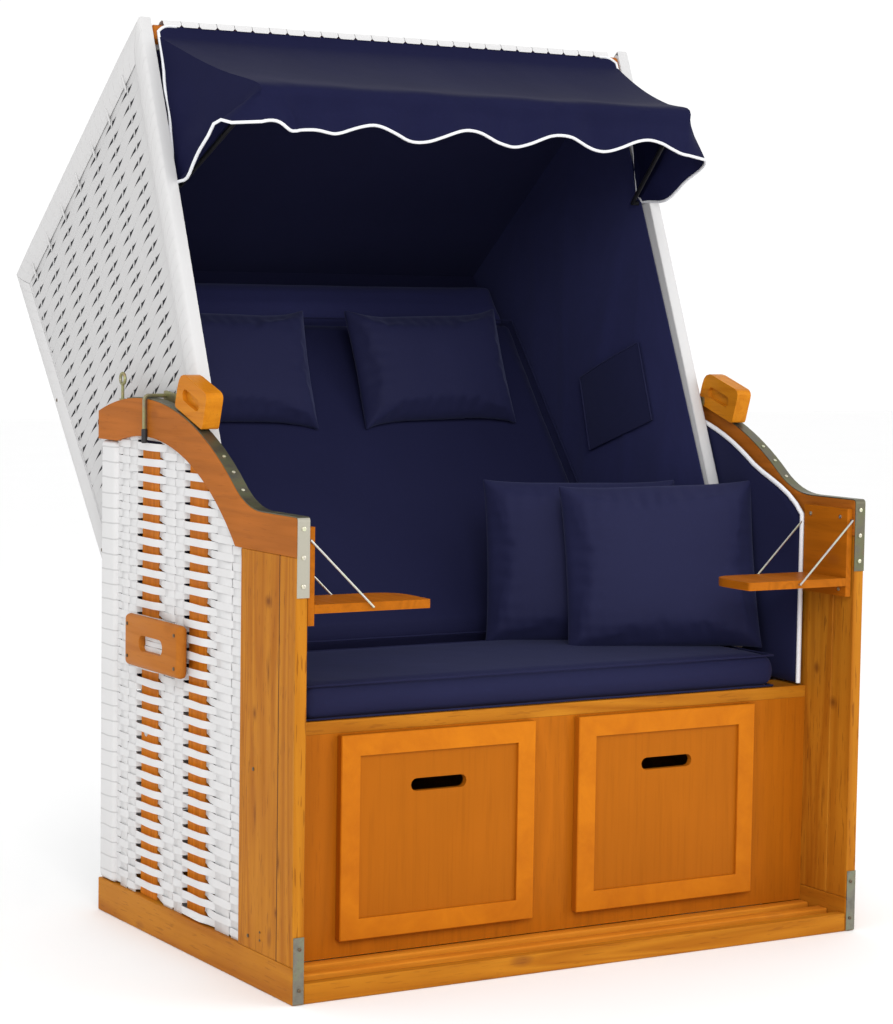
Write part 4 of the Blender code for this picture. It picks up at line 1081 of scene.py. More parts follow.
def hood_shell_weave():
    """Strips across the hood's roof and back, over stakes that run up it."""
    line = shell_line()
    total = sum((b - a).length for a, b in zip(line, line[1:]))
    half = HOOD_INNER - 0.001
    rows = int(total / STRIP_PITCH)

    def at(along, row, out):
        spot, normal = walk(line, max(0.0, (row + 0.5) * total / rows))
        spot = spot + normal * (0.0019 + out)
        return (along, spot.x, spot.y)

    strips = woven_field(rows, lambda row: (-half, half), 0.066, at, 0.011)
    stakes = []
    count = 15
    for index in range(count):
        x = (index - (count - 1) / 2) * 0.066
        run = []
        for step in range(61):
            spot, normal = walk(line, total * step / 60)
            spot = spot + normal * 0.0016
            run.append(((x - 0.008, spot.x, spot.y), (x + 0.008, spot.x, spot.y)))
        stakes.append(run)
    bars = ribbons(stakes, 0.0009)
    thing = placed(joined([strips, bars]), HOOD)
    faced_out(thing)
    dressed(thing, "woven_hood_back", looks["strip"], "hood", 50)


# Cloth and cushions

def piped(points, name, body, radius=0.0024, look="piping"):
    thing = cord_along(points, radius)
    return dressed(thing, name, looks[look], body, 60)


def cushion(name, node, voxel, pressure, cap, body, look="cloth", shrink=0.0,
            frames=16, creases=0.0, soften=3, form=None):
    """A stuffed cushion grown from its CAD solid: remeshed, swollen as cloth, with small creases."""
    thing = node_copy(node)
    if form:
        form(thing)
    if shrink:
        change = thing.modifiers.new("shrink", "DISPLACE")
        change.strength = -shrink
        change.mid_level = 0.0
        settled(thing)
    remeshed(thing, voxel)
    if soften:
        relaxed(thing, soften)
    inflated(thing, pressure, frames, cap)
    if creases:
        normals = [spot.normal.copy() for spot in thing.data.vertices]
        for spot, normal in zip(thing.data.vertices, normals):
            place = spot.co
            soft = noise.noise(Vector((place.x * 9, place.y * 9, place.z * 9)))
            fine = noise.noise(Vector((place.x * 26, place.y * 15, place.z * 26)))
            spot.co = place + normal * creases * (0.7 * soft + 0.3 * fine)
    round_off = thing.modifiers.new("smooth", "SUBSURF")
    round_off.levels = 1
    round_off.render_levels = 1
    settled(thing)
    dressed(thing, name, looks[look], body, 180)
    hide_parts(node)
    return thing


def pillow(name, node, width, length, height, matrix, body, waist=0.04, hollow=0.04):
    """A loose pillow: two sewn sheets blown up, so that the seams pull in between the corners."""
    deselect()
    columns, rows = int(width / 0.0075), int(length / 0.0075)
    bpy.ops.mesh.primitive_grid_add(x_subdivisions=columns, y_subdivisions=rows, size=1)
    thing = bpy.context.object
    thing.scale = (width, length, 1)
    bpy.ops.object.transform_apply(location=False, rotation=False, scale=True)
    thickened(thing, 0.010)
    half_w, half_l = width / 2, length / 2
    for spot in thing.data.vertices:
        u, v = spot.co.x / half_w, spot.co.y / half_l
        swell = max(0.0, (1 - abs(u) ** 3) * (1 - abs(v) ** 3)) ** 0.55
        wrinkle = noise.noise(Vector((spot.co.x * 14, spot.co.y * 14, 3.1 if spot.co.z > 0 else 9.7)))
        edge = max(0.0, max(abs(u), abs(v)) - 0.55) / 0.45
        wave_x = math.sin(spot.co.x * 210 + 3 * wrinkle)
        wave_y = math.sin(spot.co.y * 210 + 3 * wrinkle)
        pucker = wave_x * abs(v) + wave_y * abs(u)
        rise = 0.004 + (height / 2 - 0.014) * swell + 0.002 * wrinkle
        rise = rise + 0.0012 * pucker * edge * (1 - edge) * 4
        spot.co.z = math.copysign(rise, spot.co.z)
        flat = min(1.0, (1 - abs(u) ** 2.2) * 1.25)
        spot.co.y *= 1 - waist * flat
        spot.co.x *= 1 - hollow * (1 - abs(v) ** 2)
    faced_out(thing)
    inflated(thing, 6.0, 14, 0.012, 12.0)
    reach = [max(abs(spot.co[axis]) for spot in thing.data.vertices) for axis in range(3)]
    for spot in thing.data.vertices:
        spot.co.x *= width / 2 / reach[0]
        spot.co.y *= length / 2 / reach[1]
        spot.co.z *= height / 2 / reach[2]
    round_off = thing.modifiers.new("smooth", "SUBSURF")
    round_off.levels = 1
    round_off.render_levels = 1
    settled(thing)
    placed(thing, matrix)
    dressed(thing, name, looks["pillow"], body, 180)
    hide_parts(node)
    return thing


def centre_of(node):
    low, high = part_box(node)
    return (low + high) / 2


NECK_TILT = math.radians(19.0)
HEAD_RISE = 0.022


def neck_pillows():
    """Two pillows that lean on the back cushion, their upper edges a little off it."""
    back = Vector((CORNER_BACK - HEEL_BACK, CORNER_HEIGHT + HEEL_DROP)).normalized()
    slope = math.atan2(back.x, back.y)
    inward = Vector((-back.y, back.x))
    for side, tag, _ in SIDES:
        middle = centre_of("neck_pillow_" + tag)
        turn = Matrix.Rotation(math.radians(90) - slope - LEAN + NECK_TILT, 4, "X")
        twist = Matrix.Rotation(math.radians(1.5 * side), 4, "Z")
        lifted = inward * 0.004 - back * 0.034
        shift = HOOD.to_3x3() @ Vector((-0.016, lifted.x, lifted.y))
        pillow("neck_pillow_cover_" + tag, "neck_pillow_" + tag, 0.368, 0.262, 0.102,
               Matrix.Translation(middle + shift) @ turn @ twist, "hood", 0.07, 0.02)


def throw_pillows():
    """Two loose pillows that stand on the seat, one before the other."""
    for name, node, aside, roll in (("throw_pillow_cover_front", "throw_pillow_front", 0.040, 2.5),
                                    ("throw_pillow_cover_rear", "throw_pillow_rear", 0.014, 0.5)):
        middle = centre_of(node) + Vector((aside, 0, -0.003))
        turn = (Matrix.Rotation(math.radians(-27.0), 4, "Z") @ Matrix.Rotation(math.radians(76.0), 4, "X")
                @ Matrix.Rotation(math.radians(roll), 4, "Z"))
        pillow(name, node, 0.385, 0.336, 0.105, Matrix.Translation(middle) @ turn, "basket", 0.02, 0.02)


def taller_head(thing):
    """Draw the head cushion's upper end out, up to where the roof's cloth begins."""
    up = Vector((CORNER_BACK - HEEL_BACK, CORNER_HEIGHT + HEEL_DROP)).normalized()
    back = HOOD.inverted()
    places = [back @ spot.co for spot in thing.data.vertices]
    along = [place.y * up.x + place.z * up.y for place in places]
    low, high = min(along), max(along)
    for spot, place, reach in zip(thing.data.vertices, places, along):
        share = (reach - low) / (high - low)
        spot.co = HOOD @ (place + Vector((0, up.x, up.y)) * HEAD_RISE * share)


def welt(name, corners, body):
    """A thin sewn edge that runs round a cushion."""
    places = []
    for start, stop in zip(corners, corners[1:] + corners[:1]):
        start, stop = Vector(start), Vector(stop)
        count = max(2, int((stop - start).length / 0.02))
        for index in range(count):
            spot = start.lerp(stop, index / count)
            drift = 0.0006 * noise.noise(spot * 30)
            places.append(spot + Vector((drift, drift, drift)))
    thing = cord_along([tuple(spot) for spot in places], 0.0019, True)
    return dressed(thing, name, looks["cloth"], body, 60)


def cushion_seams():
    """The sewn edges of the seat cushion's top and underside and of the back cushion's front."""
    low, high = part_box("seat_cushion")
    inset = 0.0030
    for name, z in (("seat_top_seam", high.z - inset), ("seat_under_seam", low.z + inset)):
        corners = [(low.x + inset, low.y + inset, z), (high.x - inset, low.y + inset, z),
                   (high.x - inset, high.y - inset, z), (low.x + inset, high.y - inset, z)]
        welt(name, corners, "basket")
    up = Vector((CORNER_BACK - HEEL_BACK, CORNER_HEIGHT + HEEL_DROP)).normalized()
    inward = Vector((-up.y, up.x))
    heel = Vector((HEEL_BACK, -HEEL_DROP))
    for name, lift in (("back_front_seam", 0.1336 - inset), ("back_foot_seam", 0.1336 - 0.070)):
        corners = []
        for x, along in ((-1, 0.125), (1, 0.125), (1, 0.925), (-1, 0.925)):
            spot = heel + up * (along + (inset if along < 0.5 else -inset)) + inward * lift
            corners.append(HOOD @ Vector((x * (0.515 - inset), spot.x, spot.y)))
        welt(name, corners, "hood")


def floor_slats():
    """The two slats of the step, a little apart behind the front board."""
    low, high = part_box("floor_slat_front")
    board = low.y - 0.011
    for index, name in enumerate(("front", "rear")):
        near = board + SLAT_GAP + (SLAT_WIDTH + SLAT_GAP) * index
        thing = block((low.x, near, low.z), (high.x, near + SLAT_WIDTH, high.z), 0.0030, 3)
        dressed(thing, "step_slat_" + name, looks["floor_slat"], "basket")
        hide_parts("floor_slat_" + name)


def seat_and_back():
    cushion("seat_cushion_cover", "seat_cushion", 0.0060, 2.0, 0.0025, "basket", "cloth",
            0.0, 8, 0.0007, 0)
    cushion("back_cushion_cover", "back_cushion", 0.0070, 2.0, 0.0045, "hood", "cloth",
            0.001, 10, 0.0013, 0)
    # The head cushion takes the walls' lit copy of the navy: painted light.
    cushion("head_cushion_cover", "head_cushion", 0.0060, 2.5, 0.0060, "hood", "wall",
            0.001, 10, 0.0010, 1, taller_head)


def lining_corner(thing):
    """Draw the right lining's front corner out to the table's plate and up under the rail's level part."""
    for spot in thing.data.vertices:
        spot.co = lining_drawn(spot.co)


def lining_drawn(place):
    share = min(1.0, max(0.0, (-0.100 - place.y) / 0.134)) if place.x > 0 else 0.0
    share = share * share * (3 - 2 * share)
    rise = min(1.0, max(0.0, (place.z - 0.560) / 0.180))
    return Vector((place.x, place.y - 0.030 * share, place.z + 0.024 * share * rise))


def side_lining_line():
    """The front and upper edge of the side lining, in the row's frame."""
    near = FRONT_Y + 0.171
    radius = RAIL_RADIUS - 0.025
    first = math.asin((near - AXLE_Y) / radius)
    last = math.asin((FRONT_Y + 0.780 - AXLE_Y) / radius)
    line = [(near, 0.457), (near, 0.560), (near, 0.660)]
    for index in range(25):
        angle = first + (last - first) * index / 24
        line.append((AXLE_Y + radius * math.sin(angle), AXLE_Z + radius * math.cos(angle)))
    return line


def side_linings():
    for side, tag, _ in SIDES:
        cushion("side_lining_pad_" + tag, "side_lining_" + tag, 0.0050, 2.0, 0.003, "basket", "cloth",
                0.0, 10, 0.0006, 3, lining_corner)
        line = [tuple(lining_drawn(Vector((side * 0.5625, y, z)))) for y, z in side_lining_line()]
        piped(line, "lining_piping_" + tag, "basket", 0.0046)


AWNING_BAND = 0.024
EDGE_SAG = 0.014
SCALLOPS = 4.6
BAND_ROWS = 2
ROOF_ROWS = 18
VALANCE_ROWS = 9


def awning_shape():
    """The awning's top, ridge and hinge in the hood's frame, and which way its cloth hangs."""
    top = Vector((-HOOD_FRONT - 0.0018, HOOD_HEIGHT - 0.0150))
    ridge = Vector((-HOOD_FRONT - 0.263, HOOD_HEIGHT - 0.2590))
    down = Vector((math.sin(LEAN), -math.cos(LEAN)))
    axle = Vector((-HOOD_FRONT + 0.030, 0.952))
    return top, ridge, down, axle


def awning_point(row, across):
    """A point of the awning: its band on the rail, its slack roof, or its scalloped valance."""
    top, ridge, down, _ = awning_shape()
    wave = -math.cos(math.pi * SCALLOPS * (across + 0.075))
    forward = Vector((math.cos(LEAN), math.sin(LEAN)))
    edge = max(0.0, (abs(across) - 0.955) / 0.045)
    if row <= BAND_ROWS:
        share = row / BAND_ROWS
        drop = AWNING_BAND * share + 0.012 * edge ** 2 * (1 - share)
        proud = 0.0008 * noise.noise(Vector((across * 22, share * 2, 7.0))) * share
        return (across * 0.518, top.x - abs(proud) - 0.001 * share, top.y - drop)
    if row <= BAND_ROWS + ROOF_ROWS:
        share = (row - BAND_ROWS) / ROOF_ROWS
        half = 0.518 + (0.470 - 0.518) * share
        spot = (top - Vector((0.001, AWNING_BAND))).lerp(ridge, share)
        length = (top - ridge).length
        sag = EDGE_SAG * (2.6 + 1.4 * across) + 0.05 * length * (1 - across ** 4)
        spot = spot + down * (sag * share * (1 - share))
        pull = math.sin(math.pi * share) * 0.0035
        fold = noise.noise(Vector((across * 5 + share * 1.2, share * 1.1, 2.0)))
        fine = noise.noise(Vector((across * 16, share * 1.6, 6.0))) * max(0.0, 1 - share * 2.2)
        spot = spot + down * pull * (fold + 0.45 * fine)
        return (across * half, spot.x, spot.y)
    share = (row - BAND_ROWS - ROOF_ROWS) / VALANCE_ROWS
    hang = 0.074 + 0.013 * wave - 0.012 * math.exp(-((across + 0.745) / 0.070) ** 2)
    hang = (hang + 0.011 * math.exp(-((across + 0.875) / 0.045) ** 2)) * share
    soft = noise.noise(Vector((across * 9, share * 0.6, 5.0)))
    soft = soft + 0.2 * noise.noise(Vector((across * 19, share, 8.0)))
    crease = math.exp(-((across + 0.93 - 0.09 * share) / 0.012) ** 2)
    pucker = 0.0020 * math.sin(across * 150 + 3 * soft) * math.exp(-share * 4)
    pucker = pucker * math.sin(math.pi * min(1.0, share * 3))
    ripple = (0.006 * wave + 0.0150 * soft) * share + pucker - 0.009 * crease * share
    spot = ridge + down * hang + forward * ripple
    return (across * 0.470, spot.x, spot.y)


def gusset_line(rows, side, column, root, share):
    """One line of a gusset, from the roof's edge down to the hem, at a share of the way to its hinge."""
    belly = 0.060 * math.sin(math.pi * share ** 0.45)
    _, _, down, _ = awning_shape()
    line = []
    for number, row in enumerate(rows):
        start = row[column]
        low = max(0.0, (number - BAND_ROWS - ROOF_ROWS) / VALANCE_ROWS)
        spot = start.lerp(root, share) + Vector((side * belly * low, 0, 0))
        early = max(0.0, 1 - number / (BAND_ROWS + 1))
        if early:
            turned = start.y + (root.y - start.y) * share ** 3
            spot.y += (turned - spot.y) * min(1.0, early * 2)
        droop = 0.024 * math.exp(-((share - 0.66) / 0.20) ** 2) * low
        if side < 0:
            droop -= 0.020 * math.exp(-((share - 0.17) / 0.08) ** 2) * low
        spot = spot + Vector((0, down.x, down.y)) * droop
        sway = math.sin(math.pi * share)
        ripple = 0.005 * sway * noise.noise(Vector((number * 0.16, share * 4, side * 3)))
        line.append(spot + Vector((side * ripple, 0, 0)))
    return line


def awning_cover():
    """The awning: one sewn cloth over the bow with a scalloped valance, two side pieces and white piping."""
    top, ridge, _, axle = awning_shape()
    columns, side_steps = 132, 14
    rows = []
    for row in range(BAND_ROWS + ROOF_ROWS + VALANCE_ROWS + 1):
        rows.append([Vector(awning_point(row, 2 * c / columns - 1)) for c in range(columns + 1)])
    ridge_row = BAND_ROWS + ROOF_ROWS
    kept = [spot.copy() for spot in rows[ridge_row]]
    for _ in range(3):
        for r in range(ridge_row - 2, ridge_row + 3):
            for c in range(columns + 1):
                rows[r][c] = rows[r][c].lerp((rows[r - 1][c] + rows[r + 1][c]) / 2, 0.5)
    for c in range(columns + 1):
        lift = (kept[c] - rows[ridge_row][c]) * 1.15
        for r, share in ((-4, 0.25), (-3, 0.5), (-2, 0.75), (-1, 0.95),
                         (0, 1.0), (1, 0.9), (2, 0.5), (3, 0.2)):
            rows[ridge_row + r][c] = rows[ridge_row + r][c] + lift * share
    places = [spot for row in rows for spot in row]
    width = columns + 1
    faces = []
    for r in range(len(rows) - 1):
        for c in range(columns):
            a = r * width + c
            faces.append((a, a + width, a + width + 1, a + 1))
    edges = []
    for side, column in ((-1, 0), (1, columns)):
        root = Vector((side * 0.5228, axle.x, axle.y))
        last = [r * width + column for r in range(len(rows))]
        hem, rise = [places[last[-1]]], [places[last[0]]]
        for step in range(1, side_steps + 1):
            share = 0.94 * step / side_steps
            line = []
            for spot in gusset_line(rows, side, column, root, share):
                line.append(len(places))
                places.append(spot)
            for index in range(len(line) - 1):
                quad = (last[index], line[index], line[index + 1], last[index + 1])
                faces.append(quad if side < 0 else quad[::-1])
            last = line
            hem.append(places[last[-1]])
            rise.append(places[last[0]])
        edges.append((hem, rise))
    thing = mesh_thing("awning", places, faces)
    faced_out(thing)
    thickened(thing, 0.0012)
    placed(thing, HOOD)
    thing.name = "awning_cover"
    thing.data.materials.append(looks["awning"])
    only(thing)
    bpy.ops.object.shade_smooth_by_angle(angle=math.radians(50))
    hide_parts("awning_cloth")
    (left_hem, left_rise), (right_hem, right_rise) = edges
    ring = rows[0][:6][::-1] + left_rise + left_hem[::-1] + rows[-1][1:-1]
    ring = ring + right_hem + right_rise[::-1] + rows[0][-6:][::-1]
    radius = bpy.context.scene.beach_chair_sizes.piping_radius
    piping = placed(cord_along([tuple(spot) for spot in ring], radius), HOOD)
    piping.name = "awning_piping"
    piping.data.materials.append(looks["piping"])
    only(piping)
    bpy.ops.object.shade_smooth()
    for piece in (thing, piping):
        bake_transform(piece)


def wall_points(half, columns, rows_count, ring, side, sag):
    """A grid over a four-cornered wall of the lining, hollowed a little between its edges."""
    rows = []
    for r in range(rows_count + 1):
        v = r / rows_count
        row = []
        for c in range(columns + 1):
            u = c / columns
            low = ring[0].lerp(ring[3], u)
            high = ring[1].lerp(ring[2], u)
            spot = low.lerp(high, v)
            dip = 16 * u * (1 - u) * v * (1 - v)
            drift = noise.noise(Vector((spot.x * 6, spot.y * 6, side)))
            fold = noise.noise(Vector((spot.x * 3 + spot.y * 9, spot.y * 2, side * 4)))
            crease = abs(noise.noise(Vector((spot.x * 7 + spot.y * 4, spot.y * 1.5, side * 9))))
            rise = 0.0030 + 0.0080 * max(0.0, 0.6 * drift + 0.4 * fold + 0.2)
            rise = rise + 0.0040 * max(0.0, 0.16 - crease) / 0.16
            out = half - 0.0008 - dip * rise * sag
            row.append((side * out, spot.x, spot.y))
        rows.append(row)
    return rows


def hood_lining_cloth():
    """The cloth inside the hood: two walls, a ceiling and a back, each one stretched sheet."""
    half = HOOD_INNER - 0.0033
    back = Vector((CORNER_BACK - HEEL_BACK, CORNER_HEIGHT + HEEL_DROP)).normalized()
    inward = Vector((-back.y, back.x))
    heel = Vector((HEEL_BACK, -HEEL_DROP))
    pad = 0.0483
    foot = heel + inward * pad
    ceiling = hood_corners(0.0216)
    roof = (ceiling[2] - ceiling[1]).normalized()
    cross = back.x * roof.y - back.y * roof.x
    gap = ceiling[1] - foot
    reach = (gap.x * roof.y - gap.y * roof.x) / cross
    corner = foot + back * reach
    front_top = ceiling[1] + roof * 0.034
    front_foot = Vector((-HOOD_FRONT + 0.004, FRONT_FOOT + 0.05))
    sheets = []
    for side, tag, _ in SIDES:
        ring = [front_foot, front_top - roof * 0.030, corner, foot + back * 0.06]
        rows = wall_points(half, 48, 60, ring, side, 1.0)
        sheets.append(("hood_wall_cloth_" + tag, rows, (0.74, 1.20)))
    rows = []
    for r in range(41):
        v = r / 40
        spot = front_top.lerp(corner, v)
        row = []
        for c in range(61):
            u = 2 * c / 60 - 1
            dip = (1 - u * u) * math.sin(math.pi * v) * 0.004
            wrinkle = 0.0012 * noise.noise(Vector((u * 6, v * 3, 1.0)))
            drop = Vector((0, -1)) * (dip + wrinkle * (1 - u ** 4) * math.sin(math.pi * v))
            row.append((u * (half - 0.001), spot.x + drop.x, spot.y + drop.y))
        rows.append(row)
    sheets.append(("hood_ceiling_cloth", rows, (1.06, 0.70)))
    rows = []
    for r in range(51):
        v = r / 50
        spot = corner.lerp(foot + back * 0.06, v)
        row = []
        for c in range(61):
            u = 2 * c / 60 - 1
            puff = (1 - u ** 6) * math.sin(math.pi * min(1.0, v * 2.2)) * 0.004
            lift = inward * puff
            row.append((u * (half - 0.001), spot.x + lift.x, spot.y + lift.y))
        rows.append(row)
    sheets.append(("hood_back_cloth", rows, (1.06, 1.02)))
    first = None
    for name, rows, flat in sheets:
        thing = placed(thickened(grid_sheet(rows), 0.0010), HOOD)
        faced_out(thing)
        # The walls take the lit copy of the navy cloth: painted light.
        dressed(thing, name, looks["wall" if "wall" in name else "lining"], "hood", 60)
        first = first or thing
    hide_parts("hood_lining")


def side_pocket():
    """A flat pocket sewn to the right wall of the lining, with an elastic mouth."""
    ring = [Vector((-0.045, 0.683)), Vector((-0.271, 0.677)),
            Vector((-0.264, 0.512)), Vector((-0.028, 0.528))]
    x = HOOD_INNER - 0.0125
    rows = []
    for r in range(17):
        v = r / 16
        row = []
        for c in range(21):
            u = c / 20
            spot = ring[0].lerp(ring[1], u).lerp(ring[3].lerp(ring[2], u), v)
            puff = 0.006 * math.sin(math.pi * u) * (1 - v) ** 0.5 + 0.001
            pucker = 0.0012 * math.sin(u * 60) * (1 - v) ** 3
            row.append((x - 0.0036 - puff - pucker, spot.x, spot.y))
        rows.append(row)
    thing = placed(thickened(grid_sheet(rows), 0.0010), HOOD)
    faced_out(thing)
    dressed(thing, "side_pocket", looks["pillow"], "hood", 60)
    seam = [tuple(HOOD @ Vector(row[0]) + Vector((-0.001, 0, 0))) for row in rows[::-1]]
    seam += [tuple(HOOD @ Vector(spot) + Vector((-0.001, 0, 0))) for spot in rows[0]]
    seam += [tuple(HOOD @ Vector(row[-1]) + Vector((-0.001, 0, 0))) for row in rows]
    piped(seam, "pocket_seam", "hood", 0.0016, "pillow")


# Fittings

def screw_model(radius):
    """A domed screw head with a sunk drive, lying at the origin."""
    deselect()
    bpy.ops.mesh.primitive_cylinder_add(vertices=20, radius=radius, depth=0.0016, end_fill_type="NGON")
    thing = bpy.context.object
    bpy.ops.object.mode_set(mode="EDIT")
    bpy.ops.mesh.select_all(action="DESELECT")
    bpy.ops.object.mode_set(mode="OBJECT")
    for face in thing.data.polygons:
        face.select = face.normal.z > 0.9
    bpy.ops.object.mode_set(mode="EDIT")
    bpy.ops.mesh.select_mode(type="FACE")
    bpy.ops.mesh.inset(thickness=radius * 0.35, depth=0.0006)
    bpy.ops.mesh.inset(thickness=radius * 0.30, depth=0.0)
    bpy.ops.mesh.inset(thickness=radius * 0.05, depth=-0.0009)
    bpy.ops.object.mode_set(mode="OBJECT")
    return thing


def screw_head(model, place, way, size=1.0):
    """A copy of the screw, turned to stand on a surface."""
    place, way = Vector(place), Vector(way).normalized()
    thing = bpy.data.objects.new("screw", model.data.copy())
    bpy.context.scene.collection.objects.link(thing)
    turn = Vector((0, 0, 1)).rotation_difference(way).to_matrix().to_4x4()
    return placed(thing, Matrix.Translation(place + way * 0.0007) @ turn @ Matrix.Scale(size, 4))


def rail_point(y, lift=0.0):
    """A point over the rail's arc at a depth."""
    radius = RAIL_RADIUS + lift
    z = AXLE_Z + math.sqrt(radius ** 2 - (y - AXLE_Y) ** 2)
    return y, z


def screws():
    """The screws of the strips, brackets, handles, tables and hood."""
    model = screw_model(0.0036)
    bright, dark, hood = [], [], []
    corner = Vector((CORNER_BACK, CORNER_HEIGHT))
    heel = Vector((HEEL_BACK, -HEEL_DROP))
    for side, _, _ in SIDES:
        x = side * 0.5875
        for z in (0.800, 0.752, 0.704):
            bright.append(screw_head(model, (x, FRONT_Y - 0.0018, z), (0, -1, 0), 1.05))
        for z in (0.095, 0.025):
            dark.append(screw_head(model, (x, FRONT_Y - 0.0018, z), (0, -1, 0), 0.9))
        for y in (0.43, 0.634):
            for z in (0.515, 0.575):
                dark.append(screw_head(model, (side * 0.6203, FRONT_Y + y, z), (side, 0, 0), 0.9))
        for y in (0.026, 0.114):
            for z in (0.786, 0.650):
                bright.append(screw_head(model, (side * 0.5626, FRONT_Y + y, z), (-side, 0, 0)))
        for y in (0.060, 0.160, 0.225, 0.262, 0.300):
            spot, height = rail_point(FRONT_Y + y, 0.0019)
            bright.append(screw_head(model, (x, spot, height), (0, spot - AXLE_Y, height - AXLE_Z), 0.9))
        for y, z in ((0.150, 0.377), (0.165, 0.085)):
            dark.append(screw_head(model, (side * 0.6000, FRONT_Y + y, z), (side, 0, 0), 0.85))
        for z in (0.100, 0.086):
            dark.append(screw_head(model, (side * 0.6000, FRONT_Y + 0.120, z), (side, 0, 0), 0.55))
        for share in (0.30, 0.62, 0.88):
            spot = corner.lerp(heel, share) + Vector((-0.020, 0.004))
            world = HOOD @ Vector((side * (HOOD_HALF + 0.0048), spot.x, spot.y))
            hood.append(screw_head(model, world, (side, 0, 0)))
        spot = HOOD @ Vector((side * (HOOD_HALF + 0.0052), CORNER_BACK - 0.055, CORNER_HEIGHT - 0.006))
        hood.append(screw_head(model, spot, (side, 0, 0)))
    bpy.data.objects.remove(model)
    for things, name, look, body in ((bright, "bright_screws", "bright", "basket"),
                                     (dark, "dark_screws", "screw", "basket"),
                                     (hood, "hood_screws", "screw", "hood")):
        dressed(joined(things), name, looks[look], body, 40)


def carry_handles():
    """The boards with a hand slot, and the strips of the weave that show in the slot."""
    for side, tag, _ in SIDES:
        low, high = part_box("carry_handle_" + tag)
        far = low.y + HANDLE_LENGTH
        board = block((low.x, low.y, low.z), (high.x, far, high.z), 0.0100, 4)
        middle = ((low.y + far) / 2, (low.z + high.z) / 2)
        cutter = block((low.x - 0.03, middle[0] - 0.051, middle[1] - 0.0145),
                       (high.x + 0.03, middle[0] + 0.051, middle[1] + 0.0145), 0.0140, 8)
        slot = board.modifiers.new("slot", "BOOLEAN")
        slot.operation = "DIFFERENCE"
        slot.object = cutter
        settled(board)
        bpy.data.objects.remove(cutter)
        dressed(board, "handle_board_" + tag, looks["handle"], "basket")
        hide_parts("carry_handle_" + tag)
        rows = []
        inner = min(abs(low.x), abs(high.x)) + 0.0095
        for index in range(3):
            z = middle[1] - 0.0145 + 0.0100 * index
            run = []
            for step in range(11):
                x = side * (inner + 0.001 * math.sin(step * 0.9 + index * 1.6))
                y = middle[0] - 0.047 + 0.0094 * step
                run.append(((x, y, z), (x, y, z + 0.0092)))
            rows.append(run)
        strips = faced_out(ribbons(rows, 0.0011))
        dressed(strips, "handle_strips_" + tag, looks["strip"], "basket", 50)


def board_joints():
    """The dark joint between the corner board and the wide board of each side."""
    for side, tag, _ in SIDES:
        x0, x1 = sorted((side * 0.5990, side * 0.60025))
        thing = block((x0, FRONT_Y + 0.0593, BASE_HEIGHT), (x1, FRONT_Y + 0.0607, RAIL_UNDER), 0.0002, 1)
        dressed(thing, "board_joint_" + tag, looks["joint"], "basket")


def rubber_tips():
    for side, tag, word in SIDES:
        x = side * 0.605
        thing = rod((x, 0.19205, 0.9370), (x, 0.19205, 0.9105), 0.0056, 0.0022)
        dressed(thing, "rubber_tip_" + tag, looks["rubber"], "latch_" + word, 40)


# Stage

def make_stage():
    deselect()
    bpy.ops.mesh.primitive_plane_add(size=40, location=(0, 0, -0.0005))
    floor = bpy.context.object
    floor.name = "floor"
    bpy.ops.object.transform_apply(location=True, rotation=True, scale=True)
    look, tree, shader = new_look("pale_floor")
    cloud = noise_at(tree, object_place(tree), 2.0, 2.0)
    tree.links.new(mixed(tree, cloud, (0.93, 0.93, 0.93), (0.95, 0.95, 0.95)), shader.inputs["Base Color"])
    shader.inputs["Roughness"].default_value = 0.9
    shader.inputs["Specular IOR Level"].default_value = 0.1
    floor.data.materials.append(look)
    scene = bpy.context.scene
    scene.view_settings.view_transform = "Standard"
    world = bpy.data.worlds.new("studio")
    scene.world = world
    world.use_nodes = True
    world.node_tree.nodes["Background"].inputs["Color"].default_value = (1, 1, 1, 1)
    world.node_tree.nodes["Background"].inputs["Strength"].default_value = 1.05
    for name, place, aim, size, power in (
        ("key", (-2.6, -5.2, 3.4), (0, 0, 0.8), 2.6, 150),
        ("fill", (4.2, -3.6, 2.4), (0, 0, 0.8), 3.0, 55),
    ):
        light = bpy.data.lights.new(name, "AREA")
        light.size = size
        light.energy = power
        thing = bpy.data.objects.new(name, light)
        scene.collection.objects.link(thing)
        thing.location = place
        thing.rotation_euler = (Vector(aim) - Vector(place)).to_track_quat("-Z", "Y").to_euler()
    azimuth, elevation, roll = math.radians(-30.774), math.radians(4.4567), math.radians(0.850)
    back = Vector((math.sin(azimuth) * math.cos(elevation), -math.cos(azimuth) * math.cos(elevation),
                   math.sin(elevation)))
    forward = -back
    right = forward.cross(Vector((0, 0, 1))).normalized()
    up = right.cross(forward)
    turned_right = right * math.cos(roll) + up * math.sin(roll)
    turned_up = up * math.cos(roll) - right * math.sin(roll)
    camera = bpy.data.cameras.new("view")
    camera.sensor_width = 36.0
    camera.sensor_fit = "AUTO"
    camera.lens = 2688.3 / 1024 * 36.0
    camera.clip_end = 100
    thing = bpy.data.objects.new("view", camera)
    scene.collection.objects.link(thing)
    turn = Matrix((turned_right, turned_up, back)).transposed()
    thing.matrix_world = Matrix.Translation((-2.64628, -4.32225, 1.17590)) @ turn.to_4x4()
    scene.camera = thing


# Add-on

class BeachChairSizes(bpy.types.PropertyGroup):
    piping_radius: FloatProperty(name="Piping radius", description="Radius of the awning's white piping",
                                 default=0.0030, unit="LENGTH")
    strip_pitch: FloatProperty(name="Strip pitch", description="Height of one woven row of the basket",
                               default=STRIP_PITCH, unit="LENGTH")


